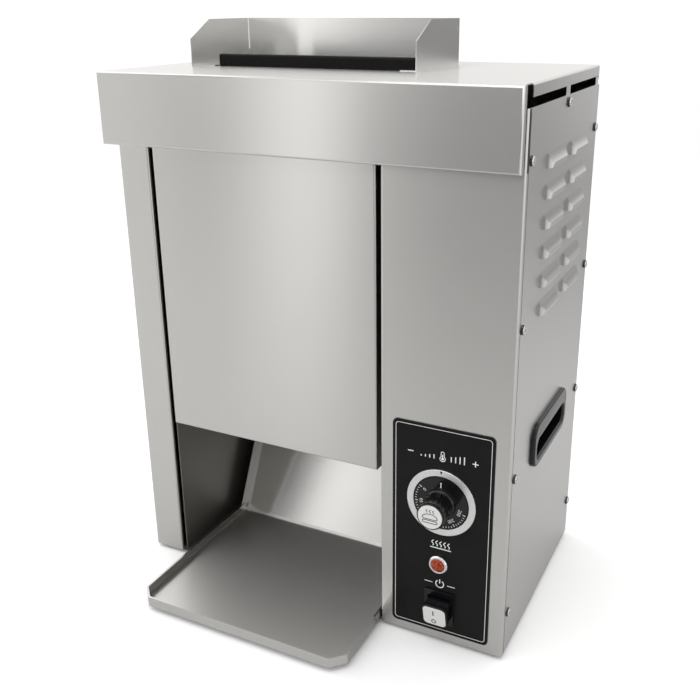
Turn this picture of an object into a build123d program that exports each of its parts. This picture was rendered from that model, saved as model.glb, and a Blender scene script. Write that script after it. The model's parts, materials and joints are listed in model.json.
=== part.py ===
from build123d import *
import math
import os

# A vertical conveyor bun toaster. Halved buns go in at the top between two counter-rotating belts,
# slide down both faces of a heated platen and drop down a chute onto a landing tray at the front.
# Millimetres, +Z up, +X to the user's right, -Y towards the user. The origin is on the worktop,
# under the middle of the whole appliance.

# ---------------------------------------------------------------- driving dimensions

# Body
BODY_WIDTH = 419.0  # outside of one side panel to the outside of the other
BODY_DEPTH = 241.0  # face of the control column to the outside of the rear panel
PANEL_HEIGHT = 512.0  # side panels
LID_HEIGHT = 530.0  # underside of the body to the top of the lid
FOOT_HEIGHT = 4.0
FOOT_RADIUS = 11.0
FOOT_INSET = 26.0
SHEET = 1.0
BEND = 2.2  # outer radius of a folded edge
GAP = 0.3  # between a moving piece and what it passes, or a loose fit
RUNNING = 0.05  # radial clearance of a shaft in its bush
FLANGE = 12.0  # folded edges that pieces are fastened by

# Front: post, control column and door
POST_WIDTH = 36.0
POST_SETBACK = 12.0  # the post and the left side panel stand behind the column's face
POST_HEM = 5.0
COLUMN_WIDTH = 126.3
PANEL_SETBACK = 6.5  # front edge of a side panel behind the face next to it
DOOR_SETBACK = 8.0
DOOR_SIDE_GAP = 8.2
DOOR_TOP_SPACE = 24.5  # below the lid's sheet
DOOR_HEIGHT = 340.0
DOOR_DEPTH = 12.0
DOOR_HOOK = 10.0
DOOR_LIFT = 14.0  # how far the door rises before it comes off its rail
RAIL_HEIGHT = 18.0

# Lid with its fascia, and the feed guard on it
FASCIA_HEIGHT = 68.0
FASCIA_REACH = 11.0  # ahead of the column's face
FASCIA_RETURN = 7.0
LID_FLANGE = 10.6
LID_FLANGE_START = 12.8  # behind the column's face
LID_REAR_LAP = 14.0
LID_CLEARANCE = 0.2
TAB_WIDTH = 14.0
TAB_DROP = 32.0
TAB_SETBACK = 122.0
SLOT_MARGIN = 1.0  # slot past the rollers on each side
SLOT_DEPTH = 83.0
SLOT_CORNER = 5.0
GUARD_LEFT_SPACE = 28.5  # guard past the slot
GUARD_RIGHT_SPACE = 6.3
GUARD_DEPTH = 107.0
GUARD_HEIGHT = 44.5
GUARD_CHAMFER_DEPTH = 34.0
GUARD_CHAMFER_HEIGHT = 18.0
GUARD_REAR_SPACE = 12.6  # guard's rear wall behind the slot
GUARD_RELIEF = 1.4  # slit between each side plate and the bend of the rear plate
GUARD_FOOT_SETBACK = 1.5
GUARD_FRONT_FOOT = 17.0  # width of the right foot, ahead of the lip
LIP_HEIGHT = 12.0
LIP_THICKNESS = 2.0
LIP_TONGUE = 14.0  # how far the lip reaches down into the slot

# Landing tray
TRAY_SIDE_GAP = 0.9  # to the column
TRAY_LINER_GAP = 14.7  # to the chamber's left wall
TRAY_REACH = 85.0  # ahead of the column's face
TRAY_FOLD_SPACE = 27.5  # fold between floor and slope ahead of the middle of the platen
TRAY_LIP = 10.7
TRAY_HEM = 5.5  # depth of the lip's inner fold
TRAY_CHAMFER = 13.0
TRAY_SLOPE_ANGLE = 63.4
TRAY_SLOPE_HEIGHT = 151.0
TRAY_SLOPE_ROOT = 20.0  # flat start of the sloped sheet under the floor
TRAY_BEND = 3.0

# Chamber and conveyors
LINER_INSET = 3.5  # chamber face of the left liner inside the post's edge
ROLLER_RADIUS = 20.0
JOURNAL_RADIUS = 6.0
BUSH_RADIUS = 9.0
BELT_THICKNESS = 1.5
BELT_MARGIN = 1.0  # belt past the platen on each side
ROLLER_MARGIN = 1.0  # roller past the belt on each side
DRIVE_HEIGHT = 235.0  # roller axes above the underside of the body
IDLER_HEIGHT = 490.0
LANE_REAR_SPACE = 101.5  # middle of the platen to the outside of the rear panel
PLATEN_LEFT_SPACE = 32.0  # platen to the chamber's walls, where the spacers are
PLATEN_RIGHT_SPACE = 15.2
PLATEN_THICKNESS = 22.0
PLATEN_BOTTOM = 262.0
PLATEN_TOP = 500.0
RELEASE_SHEET = 0.5
HEATER_RADIUS = 5.0
HEATER_HEIGHTS = (310.0, 380.0, 450.0)
HEATER_REACH = 14.0  # past the compartment wall
INSULATOR_RADIUS = 6.5
INSULATOR_LENGTH = 10.0
INSULATOR_PIN_RADIUS = 1.5
INSULATOR_PIN_LENGTH = 6.0
SPACER_RADIUS = 6.0
SPACER_HEIGHTS = (284.0, 478.0)
BACKING_SHEET = 1.5
BACKING_FLANGE = 12.0
DEFLECTOR_REACH = 51.0  # lower edge of the deflector behind the middle of the platen
DEFLECTOR_RISE = 6.0  # the same edge above the top of the tray's slope
DEFLECTOR_ROOM = 12.0  # below the rear belt
SHIELD_ROOM = 7.0  # behind the rear belt

# Synchronising gears and gearmotor
GEAR_MODULE = 2.0
GEAR_TEETH = 20
GEAR_WIDTH = 8.0
GEAR_BACKLASH = 0.3
GEAR_STANDOFF = 7.0  # compartment wall to the gears
MOTOR_SHAFT_RADIUS = 4.0
GEARBOX_SIZE = 62.0
GEARBOX_LENGTH = 27.0
MOTOR_RADIUS = 29.0
MOTOR_END_ROOM = 8.0  # motor to the handle pocket beside it
MOTOR_PLATE = 2.0
TERMINAL_WAYS = 5
TERMINAL_PITCH = 12.0
TERMINAL_DEPTH = 20.0
TERMINAL_HEIGHT = 16.0
TERMINAL_SIDE_SPACE = 60.0  # middle of the block to the right side panel
TERMINAL_REAR_SPACE = 50.0

# Control plate
PLATE_WIDTH = 99.3
PLATE_HEIGHT = 221.0
PLATE_THICKNESS = 0.8
PLATE_BOTTOM = 8.5
PLATE_CORNER = 5.0
PLATE_SIDE_GAP = 14.2  # to the column's outer edge
KNOB_HEIGHT_POSITION = 153.2
LAMP_HEIGHT_POSITION = 86.0
SWITCH_HEIGHT_POSITION = 38.0
BEZEL_RADIUS = 34.0
BEZEL_BORE_RADIUS = 27.2
BEZEL_THICKNESS = 2.6
DIAL_RADIUS = 26.5
DIAL_THICKNESS = 2.0
HUB_RADIUS = 15.2
HUB_LENGTH = 4.0
GRIP_RADIUS = 13.1
KNOB_LENGTH = 28.4
KNOB_FLUTES = 16
CAP_RADIUS = 11.7
CAP_THICKNESS = 1.6
CAP_RISE = 0.4  # cap ahead of the grip's rim
SPINDLE_RADIUS = 3.0
SPINDLE_REACH = 12.0  # into the knob, ahead of the plate
SPINDLE_BORE = 14.0  # depth of the knob's bore
SPINDLE_TAIL = 8.0  # into the thermostat
THERMOSTAT_RADIUS = 17.0
THERMOSTAT_LENGTH = 26.0
LAMP_OFFSET = -1.2  # lamp to the left of the knob's middle
LAMP_BEZEL_RADIUS = 9.7
LAMP_BEZEL_HEIGHT = 4.0
LAMP_LENS_RADIUS = 6.9
LAMP_LENS_RISE = 2.6
LAMP_BARREL_RADIUS = 6.2
LAMP_BARREL_LENGTH = 24.0
SWITCH_WIDTH = 30.0
SWITCH_HEIGHT = 36.0
SWITCH_FLANGE = 2.0
SWITCH_LEDGE = 1.5  # frame past the body on each side
SWITCH_BODY_DEPTH = 24.0
ROCKER_WIDTH = 22.3
ROCKER_NECK_HEIGHT = 17.0
ROCKER_ROOT_RADIUS = 9.5
ROCKER_HEAD = (25.0, 24.4)  # width and height of the raised head on the neck
ROCKER_HEAD_DEPTH = 5.0
ROCKER_HEAD_CORNER = 5.0
ROCKER_REACH = 15.4  # rocker's head ahead of its pivot
ROCKER_TILT = 12.0
ROCKER_PIVOT_DEPTH = 2.0
ROCKER_FACE_RIM = 1.2  # dark rim of the head round the light face
ROCKER_FACE_THICKNESS = 0.8
ROCKER_STUB = 1.2
ROCKER_STUB_RADIUS = 1.6

# Side panels: louvres, handles and screws
LOUVRE_LENGTH = 58.0
LOUVRE_HEIGHT = 12.8
LOUVRE_RISE = 5.6
LOUVRE_RIDGE = 4.2  # ridge above the open edge
LOUVRE_LIP_TILT = 1.0  # open edge behind the ridge
LOUVRE_END = 7.0  # length over which each end slopes down to the panel
LOUVRE_SOFTNESS = 1.6  # radius of the hood's outer edges
LOUVRE_ROWS = 6
LOUVRE_PITCH = 26.2
LOUVRE_TOP_ROW = 457.0  # open edge of the highest row above the underside
LOUVRE_COLUMNS = (86.5, 164.5)  # middles behind the column's face
HANDLE_LENGTH = 116.0
HANDLE_HEIGHT = 46.0
HANDLE_CORNER = 15.0
HANDLE_RIM = 4.0
HANDLE_LEDGE = 12.0
HANDLE_DEPTH = 30.0
HANDLE_WALL = 2.5
HANDLE_UNDERCUT = 9.0
HANDLE_TOP_LIP = 4.0  # depth of the lip that hides the undercut
HANDLE_MIDDLE_DEPTH = 121.5  # behind the column's face
HANDLE_MIDDLE_HEIGHT = 190.6
SCREW_HEAD_RADIUS = 4.5
SCREW_HEAD_HEIGHT = 2.7
SCREW_RADIUS = 2.0
SCREW_LENGTH = 4.5
SCREW_EDGE = 6.4
SCREW_FIRST = 43.5
SCREW_PITCH = 142.3
SCREW_ROWS = 4
TAB_SCREW_DROP = 6.5  # below the top of the side panel

# Rear
GLAND_HEIGHT = 46.0
GLAND_INSET = 62.0
GLAND_RADIUS = 8.0
GLAND_BORE_RADIUS = 4.2
GLAND_HEX = 24.0
GLAND_REACH = 16.0
GLAND_CAP_RADIUS = 11.0
GLAND_MOUTH_RADIUS = 7.5
GLAND_COLLAR = 5.0

# ---------------------------------------------------------------- derived positions

FACE_Y = TRAY_REACH - (TRAY_REACH + BODY_DEPTH + GLAND_REACH) / 2
REAR_Y = FACE_Y + BODY_DEPTH
LEFT_X = -BODY_WIDTH / 2
RIGHT_X = BODY_WIDTH / 2
BASE_Z = FOOT_HEIGHT
FLOOR_Z = BASE_Z + SHEET
PANEL_TOP_Z = BASE_Z + PANEL_HEIGHT
LID_TOP_Z = BASE_Z + LID_HEIGHT
LID_UNDER_Z = LID_TOP_Z - SHEET
LID_X = RIGHT_X - SHEET - LID_CLEARANCE
LID_EDGE_Z = LID_TOP_Z - LID_FLANGE

POST_Y = FACE_Y + POST_SETBACK
POST_EDGE_X = LEFT_X + POST_WIDTH
COLUMN_X = RIGHT_X - COLUMN_WIDTH
LINER_X = POST_EDGE_X + LINER_INSET
WALL_X = COLUMN_X + SHEET
CHAMBER = (LINER_X, WALL_X)
CHAMBER_FRONT_Y = POST_Y + POST_HEM + GAP
REAR_INSIDE_Y = REAR_Y - SHEET

TRAY_X = (LINER_X + TRAY_LINER_GAP, COLUMN_X - TRAY_SIDE_GAP)
TRAY_Z = FLOOR_Z + GAP


def wider(span, margin):
    """A span with a margin added at both ends."""
    return (span[0] - margin, span[1] + margin)


PLATEN_X = (LINER_X + PLATEN_LEFT_SPACE, WALL_X - PLATEN_RIGHT_SPACE)
BELT_X = wider(PLATEN_X, BELT_MARGIN)
ROLLER_X = wider(BELT_X, ROLLER_MARGIN)
SLOT_X = wider(ROLLER_X, SLOT_MARGIN)
LANE_Y = REAR_Y - LANE_REAR_SPACE
TRAY_FRONT_Y = FACE_Y - TRAY_REACH
TRAY_FOLD_Y = LANE_Y - TRAY_FOLD_SPACE
PITCH_RADIUS = GEAR_MODULE * GEAR_TEETH / 2
ROLLER_SPACING = 6 * PITCH_RADIUS  # front and rear rollers are three gear meshes apart
ROLLER_Y = {"front": LANE_Y - ROLLER_SPACING / 2, "rear": LANE_Y + ROLLER_SPACING / 2}
DRIVE_Z = BASE_Z + DRIVE_HEIGHT
IDLER_Z = BASE_Z + IDLER_HEIGHT
SHAFT_AXES = [(y, z) for y in ROLLER_Y.values() for z in (DRIVE_Z, IDLER_Z)]
BELT_INSIDE = ROLLER_RADIUS + GAP
SLOT_Y = (LANE_Y - SLOT_DEPTH / 2, LANE_Y + SLOT_DEPTH / 2)
LIP_BACK_Y = SLOT_Y[0] + GAP + LIP_THICKNESS
LIP_FRONT_Y = LIP_BACK_Y - 3 * LIP_THICKNESS

DOOR_X = (POST_EDGE_X + DOOR_SIDE_GAP, COLUMN_X - DOOR_SIDE_GAP)
DOOR_Y = FACE_Y + DOOR_SETBACK
DOOR_TOP_Z = LID_UNDER_Z - DOOR_TOP_SPACE
DOOR_Z = (DOOR_TOP_Z - DOOR_HEIGHT, DOOR_TOP_Z)
DOOR_BACK_Y = DOOR_Y + DOOR_DEPTH
RAIL_TOP_Z = DOOR_Z[1] - SHEET - GAP
RAIL_Y = (DOOR_Y + DOOR_BACK_Y) / 2

PLATE_X = RIGHT_X - PLATE_SIDE_GAP - PLATE_WIDTH / 2
PLATE_Y = FACE_Y - PLATE_THICKNESS
KNOB_Z = BASE_Z + KNOB_HEIGHT_POSITION
LAMP_X = PLATE_X + LAMP_OFFSET
LAMP_Z = BASE_Z + LAMP_HEIGHT_POSITION
SWITCH_Z = BASE_Z + SWITCH_HEIGHT_POSITION
KNOB_FRONT_Y = PLATE_Y - KNOB_LENGTH
PIVOT_Y = FACE_Y + ROCKER_PIVOT_DEPTH

GEAR_X = WALL_X + SHEET + GEAR_STANDOFF
MOTOR_PLATE_X = GEAR_X + GEAR_WIDTH + 5.0
GEAR_AXES = [ROLLER_Y["front"] + 2 * PITCH_RADIUS * step for step in range(4)]
MOTOR_Y = GEAR_AXES[2]

HANDLE_Y = FACE_Y + HANDLE_MIDDLE_DEPTH
HANDLE_Z = BASE_Z + HANDLE_MIDDLE_HEIGHT
TAB_Y = FACE_Y + TAB_SETBACK
TAB_SCREW_Z = PANEL_TOP_Z - TAB_SCREW_DROP
SCREW_HEIGHTS = [BASE_Z + SCREW_FIRST + SCREW_PITCH * row for row in range(SCREW_ROWS)]
PANEL_FRONT_Y = {1: FACE_Y + PANEL_SETBACK, -1: POST_Y + PANEL_SETBACK}
SCREW_FLANGE = 2 * SCREW_EDGE  # folded edge behind a row of screws
GLAND_X = RIGHT_X - GLAND_INSET
GLAND_Z = BASE_Z + GLAND_HEIGHT

# ---------------------------------------------------------------- helpers

FROM_ABOVE, FROM_RIGHT, FROM_FRONT = Plane.XY, Plane.YZ, Plane.XZ


def block(x, y, z):
    """A box between two corners, each side given as (low, high)."""
    size = Box(x[1] - x[0], y[1] - y[0], z[1] - z[0])
    return Pos((x[0] + x[1]) / 2, (y[0] + y[1]) / 2, (z[0] + z[1]) / 2) * size


def swept_between(view, outline, span):
    """Extrude an outline drawn in a view from span[0] to span[1] along the line of sight axis."""
    start = -span[1] if view is FROM_FRONT else span[0]
    return extrude(view.offset(start) * outline, amount=span[1] - span[0])


def fold(view, corners, span, sheet=SHEET, bend=BEND, inward=Side.RIGHT):
    """Sheet bent along an outline of corner points, its thickness on one side of that outline."""
    with BuildSketch() as section:
        with BuildLine():
            FilletPolyline(*corners, radius=bend)
            offset(amount=sheet, side=inward)
        make_face()
    return swept_between(view, section.sketch, span)


def plate(view, corners, span):
    """A flat plate cut to a polygon."""
    return swept_between(view, make_face(Polyline(*corners, close=True)), span)


def rod(axis, centre, radius, span):
    """A round bar along X, Y or Z; centre gives its two other coordinates in axis order."""
    low, high = span
    bar = Cylinder(radius, high - low)
    middle = (low + high) / 2
    if axis == "x":
        return Pos(middle, centre[0], centre[1]) * Rot(0, 90, 0) * bar
    if axis == "y":
        return Pos(centre[0], middle, centre[1]) * Rot(90, 0, 0) * bar
    return Pos(centre[0], centre[1], middle) * bar


def turned_y(profile, centre):
    """Revolve (radius, y) points about a line along Y through centre (x, z)."""
    outline = make_face(Polyline(*profile, close=True))
    return Pos(centre[0], 0, centre[1]) * revolve(outline, Axis.Y)


def turned_x(profile, centre):
    """Revolve (x, radius) points about a line along X through centre (y, z)."""
    outline = make_face(Polyline(*profile, close=True))
    return Pos(0, centre[0], centre[1]) * revolve(outline, Axis.X)


def rounded_slab(view, middle, size, corner, span):
    """A slab with a rounded rectangular outline."""
    outline = Pos(middle[0], middle[1]) * RectangleRounded(size[0], size[1], corner)
    return swept_between(view, outline, span)


def folded_pan(x, front, depth, z):
    """A sheet face with all four edges folded back, every bend rounded."""
    outer = block(x, (front, front + depth), z)
    outer = fillet(outer.faces().sort_by(Axis.Y)[0].edges(), BEND)
    hollow_x = (x[0] + SHEET, x[1] - SHEET)
    hollow_z = (z[0] + SHEET, z[1] - SHEET)
    hollow = block(hollow_x, (front + SHEET, front + depth + SHEET), hollow_z)
    hollow = fillet(hollow.faces().sort_by(Axis.Y)[0].edges(), BEND - SHEET)
    return outer - hollow


def mirrored(piece):
    """The same piece on the other side of the body's middle plane."""
    return mirror(piece, about=Plane.YZ)


# ---------------------------------------------------------------- body


def base_plate():
    """Floor pan: turned-up side edges behind the front flanges, and a tongue under the column."""
    inside = RIGHT_X - SHEET
    corners = [(-inside, BASE_Z + FLANGE), (-inside, BASE_Z), (inside, BASE_Z), (inside, BASE_Z + FLANGE)]
    edges_start = PANEL_FRONT_Y[-1] + SCREW_FLANGE + GAP
    pan = fold(FROM_FRONT, corners, (edges_start, REAR_INSIDE_Y), inward=Side.LEFT)
    front = block((-inside, inside), (POST_Y + SHEET, edges_start), (BASE_Z, FLOOR_Z))
    tongue = block((WALL_X, inside), (FACE_Y + SHEET, POST_Y + SHEET), (BASE_Z, FLOOR_Z))
    return pan + front + tongue


def floor_room(left, front):
    """Room for the floor pan behind a front face."""
    return block((left, RIGHT_X - SHEET), (front + SHEET, REAR_Y), (BASE_Z - 1, FLOOR_Z))


def feet():
    """Four low rubber feet, slightly tapered."""
    profile = [(0, 0), (FOOT_RADIUS - 1.5, 0), (FOOT_RADIUS, FOOT_HEIGHT), (0, FOOT_HEIGHT)]
    foot = revolve(Plane.XZ * make_face(Polyline(*profile, close=True)), Axis.Z)
    side = RIGHT_X - FOOT_INSET
    places = [(x, y) for x in (-side, side) for y in (POST_Y + FOOT_INSET, REAR_Y - FOOT_INSET)]
    return [Pos(x, y, 0) * foot for x, y in places]


def left_post():
    """Narrow front post: face, hemmed inner edge and a joggled return behind the side panel."""
    corners = [
        (POST_EDGE_X, POST_Y + POST_HEM),
        (POST_EDGE_X, POST_Y),
        (LEFT_X, POST_Y),
        (LEFT_X, POST_Y + PANEL_SETBACK - GAP),
    ]
    height = (BASE_Z, PANEL_TOP_Z)
    face = fold(FROM_ABOVE, corners, height, inward=Side.RIGHT)
    flange_x = (LEFT_X + SHEET, LEFT_X + 2 * SHEET)
    flange = block(flange_x, (POST_Y + BEND, PANEL_FRONT_Y[-1] + SCREW_FLANGE), height)
    return face + flange - screw_holes(-1) - floor_room(LEFT_X + SHEET, POST_Y)


def front_column():
    """Control column: wide face, a return into the chamber and one behind the side panel."""
    height = (BASE_Z, PANEL_TOP_Z)
    corners = [
        (COLUMN_X, POST_Y),
        (COLUMN_X, FACE_Y),
        (RIGHT_X, FACE_Y),
        (RIGHT_X, FACE_Y + PANEL_SETBACK - GAP),
    ]
    face = fold(FROM_ABOVE, corners, height, inward=Side.LEFT)
    flange_x = (RIGHT_X - 2 * SHEET, RIGHT_X - SHEET)
    flange = block(flange_x, (FACE_Y + BEND, PANEL_FRONT_Y[1] + SCREW_FLANGE), height)
    column = face + flange - screw_holes(1) - floor_room(WALL_X, FACE_Y)
    front = (FACE_Y - SHEET, FACE_Y + 2 * SHEET)
    return column - control_holes(front)


def control_holes(span):
    """Holes for the spindle, the lamp and the switch, through the column and its plate."""
    spindle = rod("y", (PLATE_X, KNOB_Z), SPINDLE_RADIUS + 2.0, span)
    lamp = rod("y", (LAMP_X, LAMP_Z), LAMP_BARREL_RADIUS + GAP, span)
    switch_size = (SWITCH_WIDTH - 2 * SWITCH_LEDGE + 2 * GAP, SWITCH_HEIGHT - 2 * SWITCH_LEDGE + 2 * GAP)
    switch = rounded_slab(FROM_FRONT, (PLATE_X, SWITCH_Z), switch_size, GAP, span)
    return [spindle, lamp, switch]


def screw_positions(side):
    """(y, z) of the screws in one side panel; side is 1 on the right and -1 on the left."""
    rows = (PANEL_FRONT_Y[side] + SCREW_EDGE, REAR_Y - SCREW_EDGE)
    return [(y, z) for y in rows for z in SCREW_HEIGHTS]


def screw_holes(side):
    """Clearance holes for every screw of one side, through the panel and what is behind it."""
    ends = sorted((side * (RIGHT_X - SCREW_LENGTH - 1.0), side * (RIGHT_X + 1.0)))
    places = screw_positions(side) + [(TAB_Y, TAB_SCREW_Z)]
    return Part() + [rod("x", place, SCREW_RADIUS + RUNNING, ends) for place in places]


def louvre_parts():
    """One pressed hood, open downwards, and the piece of sheet that it leaves open behind it."""
    far = 2 * LOUVRE_RISE
    half = LOUVRE_LENGTH / 2
    top_slope = (LOUVRE_HEIGHT - LOUVRE_RIDGE) / LOUVRE_RISE
    lip_slope = LOUVRE_LIP_TILT / LOUVRE_RIDGE
    end_slope = LOUVRE_END / LOUVRE_RISE
    side_view = [
        (-far, LOUVRE_HEIGHT + far * top_slope),
        (LOUVRE_RISE, LOUVRE_RIDGE),
        (LOUVRE_RISE - (LOUVRE_RIDGE + far) * lip_slope, -far),
        (-far, -far),
    ]
    beyond = LOUVRE_RISE + SHEET
    view_from_above = [
        (-far, -half - far * end_slope),
        (beyond, beyond * end_slope - half),
        (beyond, half - beyond * end_slope),
        (-far, half + far * end_slope),
    ]

    reach = LOUVRE_LENGTH

    def solid(inset, softness):
        side = make_face(Polyline(*side_view, close=True))
        above = make_face(Polyline(*view_from_above, close=True))
        if inset:
            side = offset(side, amount=-inset, kind=Kind.INTERSECTION)
            above = offset(above, amount=-inset, kind=Kind.INTERSECTION)
        lengthwise = swept_between(FROM_FRONT, side, (-reach, reach))
        body = lengthwise & swept_between(FROM_ABOVE, above, (-reach, reach))
        peak = body.bounding_box().max.X - 0.01
        return fillet([edge for edge in body.edges() if edge.bounding_box().max.X > peak], softness)

    hollow = solid(SHEET, LOUVRE_SOFTNESS - SHEET)
    hood = (solid(0, LOUVRE_SOFTNESS) - hollow) & block((-SHEET, reach), (-reach, reach), (0, reach))
    opening = hollow & block((-2 * SHEET, reach), (-reach, reach), (0, reach))
    return hood, opening


def side_panel(side):
    """Flat side panel with a cut-out for the handle; the right one has two columns of louvres."""
    depth = (PANEL_FRONT_Y[side], REAR_Y)
    middle = ((depth[0] + depth[1]) / 2, (BASE_Z + PANEL_TOP_Z) / 2)
    size = (depth[1] - depth[0], PANEL_HEIGHT)
    panel = rounded_slab(FROM_RIGHT, middle, size, 3.0, (RIGHT_X - SHEET, RIGHT_X))
    cutout_size = (HANDLE_LENGTH - HANDLE_LEDGE, HANDLE_HEIGHT - HANDLE_LEDGE)
    cutout_span = (RIGHT_X - 2 * SHEET, RIGHT_X + SHEET)
    panel -= rounded_slab(
        FROM_RIGHT, (HANDLE_Y, HANDLE_Z), cutout_size, HANDLE_CORNER - HANDLE_LEDGE / 2, cutout_span
    )
    if side == 1:
        hood, opening = louvre_parts()
        for column in LOUVRE_COLUMNS:
            for row in range(LOUVRE_ROWS):
                place = Pos(RIGHT_X, FACE_Y + column, BASE_Z + LOUVRE_TOP_ROW - LOUVRE_PITCH * row)
                panel = panel - place * opening + place * hood
        return panel - screw_holes(side)
    return mirrored(panel) - screw_holes(side)


def rear_panel():
    """Rear panel with folded side edges and a hole for the cable gland."""
    inside = RIGHT_X - SHEET
    edge = REAR_Y - SCREW_FLANGE
    corners = [(-inside, edge), (-inside, REAR_Y), (inside, REAR_Y), (inside, edge)]
    height = (BASE_Z, LID_UNDER_Z)
    panel = fold(FROM_ABOVE, corners, height, inward=Side.RIGHT)
    gland_hole = rod("y", (GLAND_X, GLAND_Z), GLAND_RADIUS + GAP, (REAR_Y - 5, REAR_Y + 5))
    panel = panel - gland_hole - screw_holes(1) - screw_holes(-1)
    lid_room = block((LID_X - SHEET - GAP, RIGHT_X), (edge - 1, REAR_Y + 1), (LID_EDGE_Z - GAP, LID_TOP_Z))
    return panel - base_clearance() - lid_room - mirrored(lid_room)


def base_clearance():
    """The space that the floor pan takes inside the rear panel's folded edges."""
    return block((LEFT_X, RIGHT_X), (REAR_Y - 2 * SCREW_FLANGE, REAR_INSIDE_Y), (BASE_Z - 1, BASE_Z + FLANGE))


def chamber_liner():
    """Left wall of the toasting chamber, folded outwards at the rear and at the floor."""
    corners = [(LINER_X - FLANGE, REAR_INSIDE_Y), (LINER_X, REAR_INSIDE_Y), (LINER_X, CHAMBER_FRONT_Y)]
    wall = fold(FROM_ABOVE, corners, (FLOOR_Z, LID_UNDER_Z), inward=Side.RIGHT)
    foot = block(
        (LINER_X - FLANGE, LINER_X - SHEET), (CHAMBER_FRONT_Y, REAR_INSIDE_Y), (FLOOR_Z, FLOOR_Z + SHEET)
    )
    return wall + foot - bush_holes((LINER_X - 5, LINER_X + 5))


def compartment_wall():
    """Right wall of the chamber, which carries the drive and closes off the electrical side."""
    front = FACE_Y + BEND + GAP
    corners = [(WALL_X + FLANGE, REAR_INSIDE_Y), (WALL_X, REAR_INSIDE_Y), (WALL_X, front)]
    wall = fold(FROM_ABOVE, corners, (FLOOR_Z, LID_UNDER_Z), inward=Side.LEFT)
    foot_y = (POST_Y + SHEET, REAR_INSIDE_Y)
    foot = block((WALL_X + SHEET, WALL_X + FLANGE), foot_y, (FLOOR_Z, FLOOR_Z + SHEET))
    wall_span = (WALL_X - 5, WALL_X + 5)
    holes = [rod("x", (LANE_Y, BASE_Z + z), HEATER_RADIUS + GAP, wall_span) for z in HEATER_HEIGHTS]
    holes.append(rod("x", (GEAR_AXES[1], DRIVE_Z), MOTOR_SHAFT_RADIUS, wall_span))
    return wall + foot - bush_holes(wall_span) - holes


def top_cover():
    """Lid with a deep front fascia, shallow side edges, a rear lap, screw tabs and the feed slot."""
    front = FACE_Y - FASCIA_REACH
    flange_start = FACE_Y + LID_FLANGE_START
    rear = REAR_Y + LID_CLEARANCE + SHEET
    fascia_z = (LID_TOP_Z - FASCIA_HEIGHT, LID_TOP_Z)
    fascia = folded_pan((-LID_X, LID_X), front, flange_start - front, fascia_z)
    behind = (front + FASCIA_RETURN, flange_start)
    fascia -= block((-LID_X - 1, LID_X + 1), (behind[0], rear), (fascia_z[0] - 1, LID_UNDER_Z))
    for side in (-1, 1):
        edge = sorted((side * (LID_X - BEND), side * (LID_X + 1)))
        fascia -= block(edge, behind, (LID_UNDER_Z - 1, LID_TOP_Z + 1))
    corners = [(-LID_X, LID_EDGE_Z), (-LID_X, LID_TOP_Z), (LID_X, LID_TOP_Z), (LID_X, LID_EDGE_Z)]
    lid = fold(FROM_FRONT, corners, (flange_start, rear))
    rear_lap = block((-LID_X, LID_X), (rear - SHEET, rear), (LID_TOP_Z - LID_REAR_LAP, LID_UNDER_Z))
    slot_middle = ((SLOT_X[0] + SLOT_X[1]) / 2, (SLOT_Y[0] + SLOT_Y[1]) / 2)
    slot_span = (LID_UNDER_Z - 1, LID_TOP_Z + 1)
    slot_size = (SLOT_X[1] - SLOT_X[0], SLOT_DEPTH)
    slot = rounded_slab(FROM_ABOVE, slot_middle, slot_size, SLOT_CORNER, slot_span)
    tab = lid_tab()
    return fascia + lid + rear_lap + tab + mirrored(tab) - slot - screw_holes(1) - screw_holes(-1)


def lid_tab():
    """Rounded tab below the lid's side edge, behind the side panel, which one screw holds to it."""
    low, high = LID_TOP_Z - TAB_DROP, LID_EDGE_Z
    sheet_x = (LID_X - SHEET, LID_X)
    tab = rounded_slab(FROM_RIGHT, (TAB_Y, (low + high) / 2), (TAB_WIDTH, high - low), 3.0, sheet_x)
    root_y = (TAB_Y - TAB_WIDTH / 2, TAB_Y + TAB_WIDTH / 2)
    return tab + block(sheet_x, root_y, ((low + high) / 2, high + 1.0))


def feed_guard():
    """Three upright plates round the slot, folded up from strips that lie on the lid."""
    left, right = SLOT_X[0] - GUARD_LEFT_SPACE, SLOT_X[1] + GUARD_RIGHT_SPACE
    back = SLOT_Y[1] + GUARD_REAR_SPACE
    front = back - GUARD_DEPTH
    foot, top = LID_TOP_Z, LID_TOP_Z + GUARD_HEIGHT
    side_outline = [
        (front, foot),
        (back, foot),
        (back, top),
        (front + GUARD_CHAMFER_DEPTH, top),
        (front, top - GUARD_CHAMFER_HEIGHT),
    ]
    side_plates = [plate(FROM_RIGHT, side_outline, (x, x + SHEET)) for x in (left, right - SHEET)]
    corners = [(back - 10.0, foot), (back, foot), (back, top)]
    back_plate = fold(FROM_RIGHT, corners, (left, right), inward=Side.LEFT)
    feet_start = front + GUARD_FOOT_SETBACK
    thickness = (foot, foot + SHEET)
    left_foot = block((left, SLOT_X[0] - SHEET), (feet_start, back - SHEET), thickness)
    right_foot = block((right - GUARD_FRONT_FOOT, right), (feet_start, LIP_FRONT_Y - GAP), thickness)
    right_foot += block((SLOT_X[1] + SHEET, right), (feet_start, back - SHEET), thickness)
    relief_y = (back - SHEET - GUARD_RELIEF, back - SHEET)
    relief = block((left - 1, right + 1), relief_y, (foot + FLANGE, top + 1))
    return back_plate + side_plates + left_foot + right_foot - relief


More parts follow.
